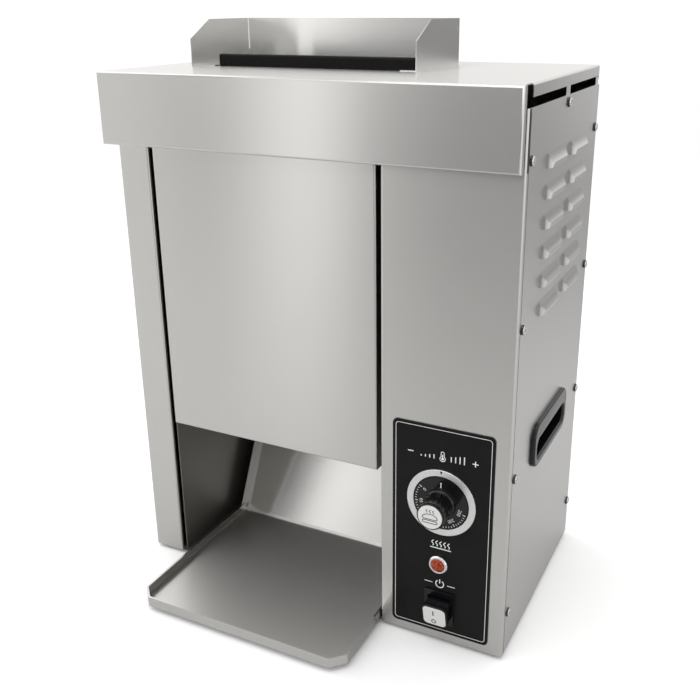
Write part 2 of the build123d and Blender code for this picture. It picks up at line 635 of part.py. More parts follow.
def feed_lip():
    """Black-coated strip hooked over the slot's front edge, which leads buns onto the belt."""
    back, front = LIP_BACK_Y, LIP_FRONT_Y
    top = LID_TOP_Z + LIP_HEIGHT
    corners = [(front, LID_TOP_Z), (front, top), (back, top), (back, LID_TOP_Z - LIP_TONGUE)]
    width = (SLOT_X[0] + GAP, SLOT_X[1] - GAP)
    lip = fold(FROM_RIGHT, corners, width, sheet=LIP_THICKNESS, bend=LIP_THICKNESS + 0.6)
    below = (LID_TOP_Z - LIP_TONGUE - 1, LID_TOP_Z + GAP)
    for end in width:
        corner = (end - SLOT_CORNER, end + SLOT_CORNER)
        lip -= block(corner, (SLOT_Y[0], back + 1), below)
    return lip


def door_rail():
    """Angle across the top of the chamber that the door hangs from."""
    low = RAIL_TOP_Z - RAIL_HEIGHT
    corners = [(RAIL_Y + RAIL_HEIGHT, low), (RAIL_Y, low), (RAIL_Y, RAIL_TOP_Z)]
    return fold(FROM_RIGHT, corners, CHAMBER, inward=Side.RIGHT)


def front_door():
    """Lift-off door: a folded pan with a hook along its top."""
    pan = folded_pan(DOOR_X, DOOR_Y, DOOR_DEPTH, DOOR_Z)
    hook_z = (DOOR_Z[1] - DOOR_HOOK, DOOR_Z[1])
    hook = block(DOOR_X, (DOOR_BACK_Y - SHEET, DOOR_BACK_Y), hook_z)
    rail_room = (RAIL_TOP_Z - RAIL_HEIGHT - DOOR_LIFT - 2 * SHEET, DOOR_Z[1] - SHEET)
    notch_y = (DOOR_Y + BEND, DOOR_BACK_Y - SHEET)
    notch = block((DOOR_X[0] - 1, DOOR_X[1] + 1), notch_y, rail_room)
    lower_y = (DOOR_BACK_Y - 2 * SHEET, DOOR_BACK_Y + 1)
    lower_notch = block((DOOR_X[0] - 1, DOOR_X[1] + 1), lower_y, (rail_room[0], hook_z[0]))
    return pan + hook - notch - lower_notch


def landing_tray():
    """Tray and chute folded from one sheet: floor, low lips, chamfered corners and a sloped back."""
    x0, x1 = TRAY_X
    front, fold_y = TRAY_FRONT_Y, TRAY_FOLD_Y
    angle = math.radians(TRAY_SLOPE_ANGLE)
    slope_top = (fold_y + TRAY_SLOPE_HEIGHT / math.tan(angle), TRAY_Z + TRAY_SLOPE_HEIGHT)
    floor_outline = [
        (x0, fold_y),
        (x0, front + TRAY_CHAMFER),
        (x0 + TRAY_CHAMFER, front),
        (x1 - TRAY_CHAMFER, front),
        (x1, front + TRAY_CHAMFER),
        (x1, fold_y),
    ]
    floor = plate(FROM_ABOVE, floor_outline, (TRAY_Z, TRAY_Z + SHEET))
    lip_top = TRAY_Z + TRAY_LIP
    lips = fold(FROM_ABOVE, floor_outline, (TRAY_Z, lip_top), inward=Side.LEFT)
    lips += fold(FROM_ABOVE, floor_outline, (lip_top - TRAY_HEM, lip_top), sheet=2 * SHEET, inward=Side.LEFT)
    slope_corners = [(fold_y - TRAY_SLOPE_ROOT, TRAY_Z), (fold_y, TRAY_Z), slope_top]
    slope = fold(FROM_RIGHT, slope_corners, TRAY_X, bend=TRAY_BEND, inward=Side.LEFT)
    out = (-math.sin(angle) * TRAY_LIP, math.cos(angle) * TRAY_LIP)
    mitre = TRAY_LIP * math.tan(angle / 2)
    wing_outline = [
        (fold_y, TRAY_Z),
        slope_top,
        (slope_top[0] + out[0], slope_top[1] + out[1]),
        (fold_y - mitre, TRAY_Z + TRAY_LIP),
        (fold_y - mitre, TRAY_Z),
    ]
    wings = [plate(FROM_RIGHT, wing_outline, (x, x + SHEET)) for x in (x0, x1 - SHEET)]
    return floor + lips + slope + wings


def chute_deflector():
    """Sloped sheet under the rear belt that turns buns forward onto the tray's sloped back."""
    low = BASE_Z + TRAY_SLOPE_HEIGHT + DEFLECTOR_RISE
    high = DRIVE_Z - BELT_INSIDE - BELT_THICKNESS - DEFLECTOR_ROOM
    corners = [(REAR_INSIDE_Y, high + 2 * FLANGE), (REAR_INSIDE_Y, high), (LANE_Y + DEFLECTOR_REACH, low)]
    return fold(FROM_RIGHT, corners, CHAMBER, inward=Side.RIGHT)


def heat_shield():
    """Shallow channel on the rear panel that keeps the chamber's heat off it."""
    face = ROLLER_Y["rear"] + BELT_INSIDE + BELT_THICKNESS + SHIELD_ROOM
    low, high = BASE_Z + PLATEN_BOTTOM, BASE_Z + PLATEN_TOP
    corners = [(REAR_INSIDE_Y, low), (face, low), (face, high), (REAR_INSIDE_Y, high)]
    return fold(FROM_RIGHT, corners, CHAMBER, inward=Side.RIGHT)


# ---------------------------------------------------------------- conveyors and platen


def bush_holes(span):
    """Holes in a chamber wall for the four roller bushes."""
    return [rod("x", axis, BUSH_RADIUS + RUNNING, span) for axis in SHAFT_AXES]


def shaft_bushes():
    """Flanged plain bushes, one for each end of each roller, with their flanges in the chamber."""
    bore, sleeve, flange = JOURNAL_RADIUS + RUNNING, BUSH_RADIUS, BUSH_RADIUS + 2.5
    bushes = []
    for direction, wall in ((1, LINER_X), (-1, WALL_X)):
        inner, outer = wall + direction * 2.0, wall - direction * (SHEET + 3.0)
        profile = [(inner, bore), (inner, flange), (wall, flange)]
        profile += [(wall, sleeve), (outer, sleeve), (outer, bore)]
        bushes += [turned_x(profile, axis) for axis in SHAFT_AXES]
    return bushes


def roller(side, height, right_end):
    """Steel drum with turned-down journals that run in the bushes."""
    drum = ROLLER_X
    left_end = LINER_X - SHEET - 6.0
    profile = [
        (left_end, 0),
        (left_end, JOURNAL_RADIUS),
        (drum[0], JOURNAL_RADIUS),
        (drum[0], ROLLER_RADIUS),
        (drum[1], ROLLER_RADIUS),
        (drum[1], JOURNAL_RADIUS),
        (right_end, JOURNAL_RADIUS),
        (right_end, 0),
    ]
    return turned_x(profile, (ROLLER_Y[side], height))


def belt(side):
    """Endless belt round its two rollers."""
    middle = (ROLLER_Y[side], (DRIVE_Z + IDLER_Z) / 2)
    spacing = IDLER_Z - DRIVE_Z
    outside = BELT_INSIDE + BELT_THICKNESS

    def loop(radius):
        return Pos(*middle) * Rot(0, 0, 90) * SlotCenterToCenter(spacing, 2 * radius)

    return swept_between(FROM_RIGHT, loop(outside) - loop(BELT_INSIDE), BELT_X)


def backing_plate(side):
    """Channel inside the belt that keeps its run pressed towards the platen."""
    towards_lane = 1 if side == "front" else -1
    face = ROLLER_Y[side] + towards_lane * (BELT_INSIDE - GAP)
    back = face - towards_lane * BACKING_FLANGE
    low, high = DRIVE_Z + ROLLER_RADIUS + 8.0, IDLER_Z - ROLLER_RADIUS - 8.0
    corners = [(back, low), (face, low), (face, high), (back, high)]
    inward = Side.LEFT if side == "front" else Side.RIGHT
    return fold(FROM_RIGHT, corners, CHAMBER, sheet=BACKING_SHEET, inward=inward)


def heated_platen():
    """Cast platen with a rounded top and a bore for each heating rod."""
    half = PLATEN_THICKNESS / 2
    body = block(PLATEN_X, (LANE_Y - half, LANE_Y + half), (BASE_Z + PLATEN_BOTTOM, BASE_Z + PLATEN_TOP))
    top_edges = body.faces().sort_by(Axis.Z)[-1].edges().filter_by(Axis.X)
    body = fillet(top_edges, half - 2.0)
    bore_radius = HEATER_RADIUS + RUNNING
    return body - [rod("x", (LANE_Y, BASE_Z + z), bore_radius, PLATEN_X) for z in HEATER_HEIGHTS]


def release_sheet():
    """Non-stick sheet draped over the platen's rounded top and down both faces."""
    face = PLATEN_THICKNESS / 2 + GAP
    low, high = BASE_Z + PLATEN_BOTTOM, BASE_Z + PLATEN_TOP + GAP
    corners = [(LANE_Y - face, low), (LANE_Y - face, high), (LANE_Y + face, high), (LANE_Y + face, low)]
    bend = PLATEN_THICKNESS / 2 - 2.0 + GAP
    return fold(FROM_RIGHT, corners, BELT_X, sheet=RELEASE_SHEET, bend=bend, inward=Side.LEFT)


def platen_spacers():
    """Tubes between the platen's ends and the chamber walls, each round a fixing bolt."""
    spans = [(LINER_X, PLATEN_X[0]), (PLATEN_X[1], WALL_X)]
    return [rod("x", (LANE_Y, BASE_Z + z), SPACER_RADIUS, span) for span in spans for z in SPACER_HEIGHTS]


def heater_rods():
    """Heating rods through the platen and the compartment wall."""
    span = (PLATEN_X[0], WALL_X + SHEET + HEATER_REACH)
    return [rod("x", (LANE_Y, BASE_Z + z), HEATER_RADIUS, span) for z in HEATER_HEIGHTS]


def heater_insulators():
    """Ceramic end pieces of the heating rods, each with its terminal pin."""
    start = WALL_X + SHEET + HEATER_REACH
    pin = (start + INSULATOR_LENGTH, start + INSULATOR_LENGTH + INSULATOR_PIN_LENGTH)
    wide, thin = INSULATOR_RADIUS, INSULATOR_PIN_RADIUS
    profile = [(start, 0), (start, wide), (pin[0], wide * 0.8), (pin[0], thin), (pin[1], thin), (pin[1], 0)]
    return [turned_x(profile, (LANE_Y, BASE_Z + z)) for z in HEATER_HEIGHTS]


# ---------------------------------------------------------------- gears and motor


def gear(y, bore_radius, phase):
    """Spur gear with involute-like teeth; phase turns it by a fraction of a tooth."""
    tip, root = PITCH_RADIUS + GEAR_MODULE - GEAR_BACKLASH, PITCH_RADIUS - 1.25 * GEAR_MODULE
    pitch_angle = 360 / GEAR_TEETH
    half_pitch = pitch_angle / 4 - math.degrees(GEAR_BACKLASH / 2 / PITCH_RADIUS)
    flank = [(root, half_pitch * 1.45), (PITCH_RADIUS, half_pitch), (tip, half_pitch * 0.45)]
    outline = []
    for tooth in range(GEAR_TEETH):
        middle = (tooth + phase) * pitch_angle
        outline += [polar(radius, middle - half) for radius, half in flank]
        outline += [polar(radius, middle + half) for radius, half in reversed(flank)]
    wheel = plate(FROM_RIGHT, outline, (GEAR_X, GEAR_X + GEAR_WIDTH))
    hub = rod("x", (0, 0), bore_radius + 4.0, (GEAR_X - 2.0, GEAR_X + GEAR_WIDTH))
    hole = rod("x", (0, 0), bore_radius + RUNNING, (GEAR_X - 9.0, GEAR_X + GEAR_WIDTH + 9.0))
    return Pos(0, y, DRIVE_Z) * (wheel + hub - hole)


def polar(radius, degrees):
    """Point at a radius and an angle from the first axis."""
    return (radius * math.cos(math.radians(degrees)), radius * math.sin(math.radians(degrees)))


def idler_gear_pin():
    """Headed pin riveted in the compartment wall that the second gear turns on."""
    end = GEAR_X + GEAR_WIDTH + GAP
    radius = MOTOR_SHAFT_RADIUS
    head = (end + 2.0, radius + 2.0)
    profile = [(WALL_X, 0), (WALL_X, radius), (end, radius), (end, head[1]), head, (head[0], 0)]
    return turned_x(profile, (GEAR_AXES[1], DRIVE_Z))


def motor_output_shaft():
    """Gearbox output shaft that carries the driving gear."""
    return rod("x", (MOTOR_Y, DRIVE_Z), MOTOR_SHAFT_RADIUS, (GEAR_X - 1.0, MOTOR_PLATE_X + MOTOR_PLATE + 8.0))


def motor_bracket():
    """Plate on four standoffs that holds the gearmotor clear of the gears."""
    half = GEARBOX_SIZE / 2 + 9.0
    span = (MOTOR_PLATE_X, MOTOR_PLATE_X + MOTOR_PLATE)
    bracket = rounded_slab(FROM_RIGHT, (MOTOR_Y, DRIVE_Z), (2 * half, 2 * half), 6.0, span)
    bracket -= rod("x", (MOTOR_Y, DRIVE_Z), MOTOR_SHAFT_RADIUS + 4.0, (span[0] - 1, span[1] + 1))
    corner = half - 7.0
    for dy in (-corner, corner):
        for dz in (-corner, corner):
            bracket += rod("x", (MOTOR_Y + dy, DRIVE_Z + dz), 4.0, (WALL_X + SHEET, span[0]))
    return bracket


def gearmotor():
    """Gearbox with rounded corners and the round motor can behind it."""
    start = MOTOR_PLATE_X + MOTOR_PLATE
    end = start + GEARBOX_LENGTH
    box = rounded_slab(FROM_RIGHT, (MOTOR_Y, DRIVE_Z), (GEARBOX_SIZE, GEARBOX_SIZE), 10.0, (start, end))
    box -= rod("x", (MOTOR_Y, DRIVE_Z), MOTOR_SHAFT_RADIUS + RUNNING, (start - 1.0, start + 10.0))
    boss_end = RIGHT_X - HANDLE_DEPTH - MOTOR_END_ROOM
    can_end = boss_end - 3.0
    profile = [
        (end, 0),
        (end, MOTOR_RADIUS),
        (can_end - 4.0, MOTOR_RADIUS),
        (can_end, MOTOR_RADIUS - 4.0),
        (can_end, 8.0),
        (boss_end, 8.0),
        (boss_end, 0),
    ]
    return box + turned_x(profile, (MOTOR_Y, DRIVE_Z))


def terminal_block():
    """Screw terminal strip on the floor of the electrical side."""
    middle = (RIGHT_X - TERMINAL_SIDE_SPACE, REAR_Y - TERMINAL_REAR_SPACE)
    half = TERMINAL_WAYS * TERMINAL_PITCH / 2
    strip_y = (middle[1] - TERMINAL_DEPTH / 2, middle[1] + TERMINAL_DEPTH / 2)
    top = FLOOR_Z + TERMINAL_HEIGHT
    strip = block((middle[0] - half, middle[0] + half), strip_y, (FLOOR_Z, top))
    for way in range(TERMINAL_WAYS):
        x = middle[0] - half + TERMINAL_PITCH * (way + 0.5)
        wells = [(x, middle[1] + dy) for dy in (-TERMINAL_DEPTH / 4, TERMINAL_DEPTH / 4)]
        strip -= [rod("z", well, 3.2, (top - 6.0, top + 1.0)) for well in wells]
    return strip


# ---------------------------------------------------------------- controls


def control_plate():
    """Thin glossy plate on the column, with holes for the spindle, the lamp and the switch."""
    middle = (PLATE_X, BASE_Z + PLATE_BOTTOM + PLATE_HEIGHT / 2)
    face = rounded_slab(FROM_FRONT, middle, (PLATE_WIDTH, PLATE_HEIGHT), PLATE_CORNER, (PLATE_Y, FACE_Y))
    return face - control_holes((PLATE_Y - 1, FACE_Y + 1))


def knob_bezel():
    """Flat bright ring round the dial with softened edges."""
    front, soft = PLATE_Y - BEZEL_THICKNESS, 0.6
    profile = [
        (BEZEL_BORE_RADIUS, PLATE_Y),
        (BEZEL_BORE_RADIUS, front + soft),
        (BEZEL_BORE_RADIUS + soft, front),
        (BEZEL_RADIUS - soft, front),
        (BEZEL_RADIUS, front + soft),
        (BEZEL_RADIUS, PLATE_Y),
    ]
    return turned_y(profile, (PLATE_X, KNOB_Z))


def control_knob():
    """Dial skirt, stepped hub and fluted grip in one moulding, bored for the spindle."""
    back = PLATE_Y - 0.5
    dial = back - DIAL_THICKNESS
    hub = dial - HUB_LENGTH
    tip = KNOB_FRONT_Y
    seat = tip + CAP_THICKNESS - CAP_RISE
    profile = [
        (0, back),
        (DIAL_RADIUS, back),
        (DIAL_RADIUS, dial),
        (HUB_RADIUS, dial),
        (HUB_RADIUS - 0.8, hub + 1.0),
        (GRIP_RADIUS + 0.2, hub),
        (GRIP_RADIUS, tip + 0.6),
        (GRIP_RADIUS - 0.6, tip),
        (CAP_RADIUS + RUNNING, tip),
        (CAP_RADIUS + RUNNING, seat),
        (0, seat),
    ]
    knob = turned_y(profile, (PLATE_X, KNOB_Z))
    knob -= rod("y", (PLATE_X, KNOB_Z), SPINDLE_RADIUS + RUNNING, (back - SPINDLE_BORE, back + 1.0))
    for flute in range(KNOB_FLUTES):
        x, z = polar(GRIP_RADIUS + 1.9, flute * 360 / KNOB_FLUTES)
        knob -= rod("y", (PLATE_X + x, KNOB_Z + z), 2.2, (tip + 2.5, hub - 0.5))
    return knob


def knob_cap():
    """Light disc let into the end of the grip."""
    front = KNOB_FRONT_Y - CAP_RISE
    seat = front + CAP_THICKNESS
    edge, soft = CAP_RADIUS, 0.3
    profile = [(0, seat), (edge, seat), (edge, front + soft), (edge - soft, front), (0, front)]
    return turned_y(profile, (PLATE_X, KNOB_Z))


def thermostat_spindle():
    """Spindle from inside the thermostat, through the column, into the knob."""
    span = (PLATE_Y - SPINDLE_REACH, FACE_Y + SHEET + SPINDLE_TAIL)
    return rod("y", (PLATE_X, KNOB_Z), SPINDLE_RADIUS, span)


def thermostat():
    """Round thermostat body on the back of the column's face, with its two blade terminals."""
    front = FACE_Y + SHEET
    back = front + THERMOSTAT_LENGTH
    radius = THERMOSTAT_RADIUS
    profile = [(0, front), (radius, front), (radius, back - 3), (radius - 3, back), (0, back)]
    body = turned_y(profile, (PLATE_X, KNOB_Z))
    body -= rod("y", (PLATE_X, KNOB_Z), SPINDLE_RADIUS + RUNNING, (front - 1.0, front + SPINDLE_TAIL + 1.0))
    for x in (PLATE_X - 8.0, PLATE_X + 8.0):
        body += block((x - 0.4, x + 0.4), (back - 1.0, back + 8.0), (KNOB_Z - 3.2, KNOB_Z + 3.2))
    return body


def lamp_bezel():
    """Bright ring round the heating lamp."""
    front = PLATE_Y - LAMP_BEZEL_HEIGHT
    bore = LAMP_LENS_RADIUS + 0.1
    profile = [
        (bore, PLATE_Y),
        (bore, front),
        (LAMP_BEZEL_RADIUS - 1.2, front),
        (LAMP_BEZEL_RADIUS, front + 1.4),
        (LAMP_BEZEL_RADIUS, PLATE_Y),
    ]
    return turned_y(profile, (LAMP_X, LAMP_Z))


def lamp_lens():
    """Domed coloured lens on a short cylinder."""
    shoulder = PLATE_Y - LAMP_BEZEL_HEIGHT + 0.4
    ball = (LAMP_LENS_RADIUS**2 + LAMP_LENS_RISE**2) / (2 * LAMP_LENS_RISE)
    centre = shoulder - LAMP_LENS_RISE + ball
    dome = Pos(LAMP_X, centre, LAMP_Z) * Sphere(ball)
    return dome & rod("y", (LAMP_X, LAMP_Z), LAMP_LENS_RADIUS, (shoulder - ball, PLATE_Y))


def lamp_holder():
    """Barrel of the lamp behind the plate, with its retaining nut."""
    nut = FACE_Y + SHEET
    end = PLATE_Y + LAMP_BARREL_LENGTH
    profile = [
        (0, PLATE_Y),
        (LAMP_BARREL_RADIUS, PLATE_Y),
        (LAMP_BARREL_RADIUS, nut),
        (LAMP_BARREL_RADIUS + 2.5, nut),
        (LAMP_BARREL_RADIUS + 2.5, nut + 3.0),
        (LAMP_BARREL_RADIUS, nut + 3.0),
        (LAMP_BARREL_RADIUS, end),
        (0, end),
    ]
    return turned_y(profile, (LAMP_X, LAMP_Z))


def rocker_outline():
    """Side view of the rocker: a round root about the pivot that narrows to the neck."""
    root, neck, start = ROCKER_ROOT_RADIUS, ROCKER_NECK_HEIGHT / 2, -ROCKER_REACH
    corners = [(0, -root), (0, root), (start, neck), (start, -neck)]
    return Circle(root) + make_face(Polyline(*corners, close=True))


def tilted(piece):
    """Turn a rocker piece about the pivot to its rest position, lower half pressed in."""
    return Pos(PLATE_X, PIVOT_Y, SWITCH_Z) * Rot(ROCKER_TILT, 0, 0) * piece


def switch_rocker():
    """Projecting rocker on two pivot stubs: a neck and a broader head with soft edges."""
    half = ROCKER_WIDTH / 2
    neck = swept_between(FROM_RIGHT, rocker_outline(), (-half, half))
    head_y = (-ROCKER_REACH, ROCKER_HEAD_DEPTH - ROCKER_REACH)
    head = rounded_slab(FROM_FRONT, (0, 0), ROCKER_HEAD, ROCKER_HEAD_CORNER, head_y)
    head = fillet(head.faces().sort_by(Axis.Y)[0].edges(), ROCKER_FACE_RIM / 2)
    stubs = rod("x", (0, 0), ROCKER_STUB_RADIUS, (-half - ROCKER_STUB, half + ROCKER_STUB))
    return tilted(neck + head + stubs)


def rocker_face():
    """Light plate on the rocker's head, inside its dark rim."""
    front = -ROCKER_REACH - ROCKER_FACE_THICKNESS
    size = [side - 2 * ROCKER_FACE_RIM for side in ROCKER_HEAD]
    corner = ROCKER_HEAD_CORNER - ROCKER_FACE_RIM / 2
    return tilted(rounded_slab(FROM_FRONT, (0, 0), size, corner, (front, -ROCKER_REACH)))


def switch_housing():
    """Switch body with a raised frame on the plate and blade terminals at the back."""
    frame_y = (PLATE_Y - SWITCH_FLANGE, PLATE_Y)
    back = FACE_Y + SWITCH_BODY_DEPTH
    frame = rounded_slab(FROM_FRONT, (PLATE_X, SWITCH_Z), (SWITCH_WIDTH, SWITCH_HEIGHT), 2.0, frame_y)
    half_x, half_z = SWITCH_WIDTH / 2 - SWITCH_LEDGE, SWITCH_HEIGHT / 2 - SWITCH_LEDGE
    body_z = (SWITCH_Z - half_z, SWITCH_Z + half_z)
    body = block((PLATE_X - half_x, PLATE_X + half_x), (PLATE_Y, back), body_z)
    pocket_x = (PLATE_X - ROCKER_WIDTH / 2 - GAP, PLATE_X + ROCKER_WIDTH / 2 + GAP)
    well = rod("x", (PIVOT_Y, SWITCH_Z), ROCKER_ROOT_RADIUS + GAP, pocket_x)
    mouth_half = ROCKER_ROOT_RADIUS + 2.4
    mouth = block(pocket_x, (frame_y[0] - 1, PIVOT_Y), (SWITCH_Z - mouth_half, SWITCH_Z + mouth_half))
    stub_ends = (pocket_x[0] - ROCKER_STUB, pocket_x[1] + ROCKER_STUB)
    pivots = rod("x", (PIVOT_Y, SWITCH_Z), ROCKER_STUB_RADIUS + RUNNING, stub_ends)
    housing = frame + body - well - mouth - pivots
    for z in (SWITCH_Z - 9.0, SWITCH_Z, SWITCH_Z + 9.0):
        housing += block((PLATE_X - 3.2, PLATE_X + 3.2), (back - 1, back + 8), (z - 0.4, z + 0.4))
    return housing


# ---------------------------------------------------------------- handles, screws and gland


def handle():
    """Moulded pocket handle for the right side: raised rim, sloped mouth and an undercut for the fingers."""
    size = (HANDLE_LENGTH, HANDLE_HEIGHT)
    middle = (HANDLE_Y, HANDLE_Z)
    rim = rounded_slab(FROM_RIGHT, middle, size, HANDLE_CORNER, (RIGHT_X, RIGHT_X + HANDLE_RIM))
    rim = fillet(rim.faces().sort_by(Axis.X)[-1].edges(), HANDLE_RIM * 0.55)
    pocket_size = (size[0] - HANDLE_LEDGE - 1.0, size[1] - HANDLE_LEDGE - 1.0)
    corner = HANDLE_CORNER - HANDLE_LEDGE / 2
    shell = rounded_slab(FROM_RIGHT, middle, pocket_size, corner, (RIGHT_X - HANDLE_DEPTH, RIGHT_X))
    inside = (pocket_size[0] - 2 * HANDLE_WALL, pocket_size[1] - 2 * HANDLE_WALL)
    mouth = (inside[0], inside[1] - HANDLE_UNDERCUT)
    cavity_x = (RIGHT_X - HANDLE_DEPTH + HANDLE_WALL, RIGHT_X - HANDLE_TOP_LIP)
    cavity = rounded_slab(FROM_RIGHT, middle, inside, corner - HANDLE_WALL, cavity_x)
    mouth_middle = (HANDLE_Y, HANDLE_Z - HANDLE_UNDERCUT / 2)
    opening_x = (RIGHT_X - HANDLE_TOP_LIP - 1.0, RIGHT_X + HANDLE_RIM + 1.0)
    opening = rounded_slab(FROM_RIGHT, mouth_middle, mouth, corner - HANDLE_WALL, opening_x)
    handle_piece = rim + shell - cavity - opening
    front_edges = handle_piece.faces().sort_by(Axis.X)[-1].inner_wires()[0].edges()
    return chamfer(front_edges, 2.6)


def screw(side):
    """Pan-head screw that enters along X from one side; its head sits at x = 0."""
    head, height = SCREW_HEAD_RADIUS, SCREW_HEAD_HEIGHT
    profile = [
        (-SCREW_LENGTH, 0),
        (-SCREW_LENGTH, SCREW_RADIUS),
        (0, SCREW_RADIUS),
        (0, head),
        (height * 0.5, head),
        (height, head * 0.55),
        (height, 0),
    ]
    piece = revolve(make_face(Polyline(*profile, close=True)), Axis.X)
    return piece if side == 1 else mirrored(piece)


def panel_screws():
    """Screws along the front and rear edges of both side panels, and one through each lid tab."""
    screws = []
    for side in (1, -1):
        one = screw(side)
        places = screw_positions(side) + [(TAB_Y, TAB_SCREW_Z)]
        screws += [Pos(side * RIGHT_X, y, z) * one for y, z in places]
    return screws


def hexagon(centre, across, span):
    """Hexagonal prism along Y."""
    outline = Pos(*centre) * RegularPolygon(across / 2, 6, major_radius=False)
    return swept_between(FROM_FRONT, outline, span)


def cable_gland():
    """Threaded gland through the rear panel: hexagon, domed cap and an empty cable bore."""
    centre = (GLAND_X, GLAND_Z)
    body = hexagon(centre, GLAND_HEX, (REAR_Y, REAR_Y + GLAND_COLLAR))
    body += rod("y", centre, GLAND_RADIUS, (REAR_Y - 10.0, REAR_Y))
    end = REAR_Y + GLAND_REACH
    wide, mouth = GLAND_CAP_RADIUS, GLAND_MOUTH_RADIUS
    root, shoulder = REAR_Y + GLAND_COLLAR - 1, (wide + mouth) / 2
    profile = [(0, root), (wide, root), (wide, end - 4), (shoulder, end - 1), (mouth, end), (0, end)]
    body += turned_y(profile, centre)
    return body - rod("y", centre, GLAND_BORE_RADIUS, (REAR_Y - 11.0, end + 1.0))


def gland_nut():
    """Lock nut on the inside of the rear panel."""
    centre = (GLAND_X, GLAND_Z)
    nut = hexagon(centre, GLAND_HEX, (REAR_INSIDE_Y - 5.0, REAR_INSIDE_Y))
    return nut - rod("y", centre, GLAND_RADIUS + RUNNING, (REAR_INSIDE_Y - 6.0, REAR_INSIDE_Y + 1.0))


# ---------------------------------------------------------------- assembly


def all_parts():
    """Every sub-part under its node name."""
    gear_end = GEAR_X + GEAR_WIDTH + 3.0
    idler_end = WALL_X + SHEET + 5.0
    right_handle = handle()
    return {
        "base_plate": base_plate(),
        "rubber_feet": feet(),
        "left_post": left_post(),
        "front_column": front_column(),
        "left_side_panel": side_panel(-1),
        "right_side_panel": side_panel(1),
        "rear_panel": rear_panel(),
        "chamber_liner": chamber_liner(),
        "compartment_wall": compartment_wall(),
        "top_cover": top_cover(),
        "feed_guard": feed_guard(),
        "feed_lip": feed_lip(),
        "door_rail": door_rail(),
        "front_door": front_door(),
        "landing_tray": landing_tray(),
        "chute_deflector": chute_deflector(),
        "heat_shield": heat_shield(),
        "shaft_bushes": shaft_bushes(),
        "front_drive_roller": roller("front", DRIVE_Z, gear_end),
        "rear_drive_roller": roller("rear", DRIVE_Z, gear_end),
        "front_idler_roller": roller("front", IDLER_Z, idler_end),
        "rear_idler_roller": roller("rear", IDLER_Z, idler_end),
        "front_belt": belt("front"),
        "rear_belt": belt("rear"),
        "front_backing_plate": backing_plate("front"),
        "rear_backing_plate": backing_plate("rear"),
        "heated_platen": heated_platen(),
        "release_sheet": release_sheet(),
        "platen_spacers": platen_spacers(),
        "heater_rods": heater_rods(),
        "heater_insulators": heater_insulators(),
        "front_gear": gear(GEAR_AXES[0], JOURNAL_RADIUS, 0.0),
        "idler_gear": gear(GEAR_AXES[1], MOTOR_SHAFT_RADIUS, 0.5),
        "motor_gear": gear(GEAR_AXES[2], MOTOR_SHAFT_RADIUS, 0.0),
        "rear_gear": gear(GEAR_AXES[3], JOURNAL_RADIUS, 0.5),
        "idler_gear_pin": idler_gear_pin(),
        "motor_output_shaft": motor_output_shaft(),
        "motor_bracket": motor_bracket(),
        "gearmotor": gearmotor(),
        "terminal_block": terminal_block(),
        "control_plate": control_plate(),
        "knob_bezel": knob_bezel(),
        "control_knob": control_knob(),
        "knob_cap": knob_cap(),
        "thermostat_spindle": thermostat_spindle(),
        "thermostat": thermostat(),
        "lamp_bezel": lamp_bezel(),
        "lamp_lens": lamp_lens(),
        "lamp_holder": lamp_holder(),
        "switch_housing": switch_housing(),
        "switch_rocker": switch_rocker(),
        "rocker_face": rocker_face(),
        "handle_right": right_handle,
        "handle_left": mirrored(right_handle),
        "panel_screws": panel_screws(),
        "cable_gland": cable_gland(),
        "gland_nut": gland_nut(),
    }


os.makedirs("parts", exist_ok=True)
for node, shape in all_parts().items():
    pieces = shape if isinstance(shape, list) else [shape]
    solids = [solid for piece in pieces for solid in piece.solids()]
    export_step(Compound(children=solids), f"parts/{node}.step")
    print(node, "solids", len(solids), "volume", round(sum(solid.volume for solid in solids)))
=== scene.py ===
# %% [markdown]
# # An upright bun toaster of brushed stainless steel
#
# The object is a catering appliance: buns drop in at the top, pass a hot plate between two belts
# and land on the tray in front. Its shape is already modelled, piece by piece, as a frame of
# solids at their real size. This notebook dresses that frame. It gives each piece its finish,
# softens its edges and adds what is too small for the solids: screw recesses with painted shade in
# them, black beads of painted shade in the gaps beside the side panels, printed marks and the
# figures on the dial.
#
# Places are in metres, with +X to the user's right, -Y towards the user and +Z up. Small features
# are given in millimetres and multiplied by MM.

import json
from math import cos, degrees, pi, radians, sin

import bmesh
import bpy
import numpy as np
from mathutils import Matrix, Vector

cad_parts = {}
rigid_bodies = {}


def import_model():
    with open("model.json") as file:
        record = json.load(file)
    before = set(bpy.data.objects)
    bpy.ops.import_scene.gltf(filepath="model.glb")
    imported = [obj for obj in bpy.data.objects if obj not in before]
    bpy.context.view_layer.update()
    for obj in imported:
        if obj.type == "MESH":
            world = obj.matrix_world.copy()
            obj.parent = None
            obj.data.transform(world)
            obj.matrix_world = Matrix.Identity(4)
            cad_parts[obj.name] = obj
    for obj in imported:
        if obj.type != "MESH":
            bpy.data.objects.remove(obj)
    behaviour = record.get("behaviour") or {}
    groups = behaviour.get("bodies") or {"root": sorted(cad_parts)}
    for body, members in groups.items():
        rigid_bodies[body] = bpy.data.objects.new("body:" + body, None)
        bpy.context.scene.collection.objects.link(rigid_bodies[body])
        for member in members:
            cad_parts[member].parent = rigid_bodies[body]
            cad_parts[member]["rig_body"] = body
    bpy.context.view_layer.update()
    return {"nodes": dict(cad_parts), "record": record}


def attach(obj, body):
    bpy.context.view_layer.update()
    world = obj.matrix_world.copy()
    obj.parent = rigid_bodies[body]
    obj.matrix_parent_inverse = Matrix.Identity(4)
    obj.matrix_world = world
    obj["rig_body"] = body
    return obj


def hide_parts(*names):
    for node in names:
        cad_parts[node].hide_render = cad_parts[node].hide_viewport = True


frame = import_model()
NODES = frame["nodes"]
SLOT_OF = {part["node"]: part["material_slot"] for part in frame["record"]["subparts"]}
BODY_OF = {node: o["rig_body"] for node, o in NODES.items()}
MM = 0.001

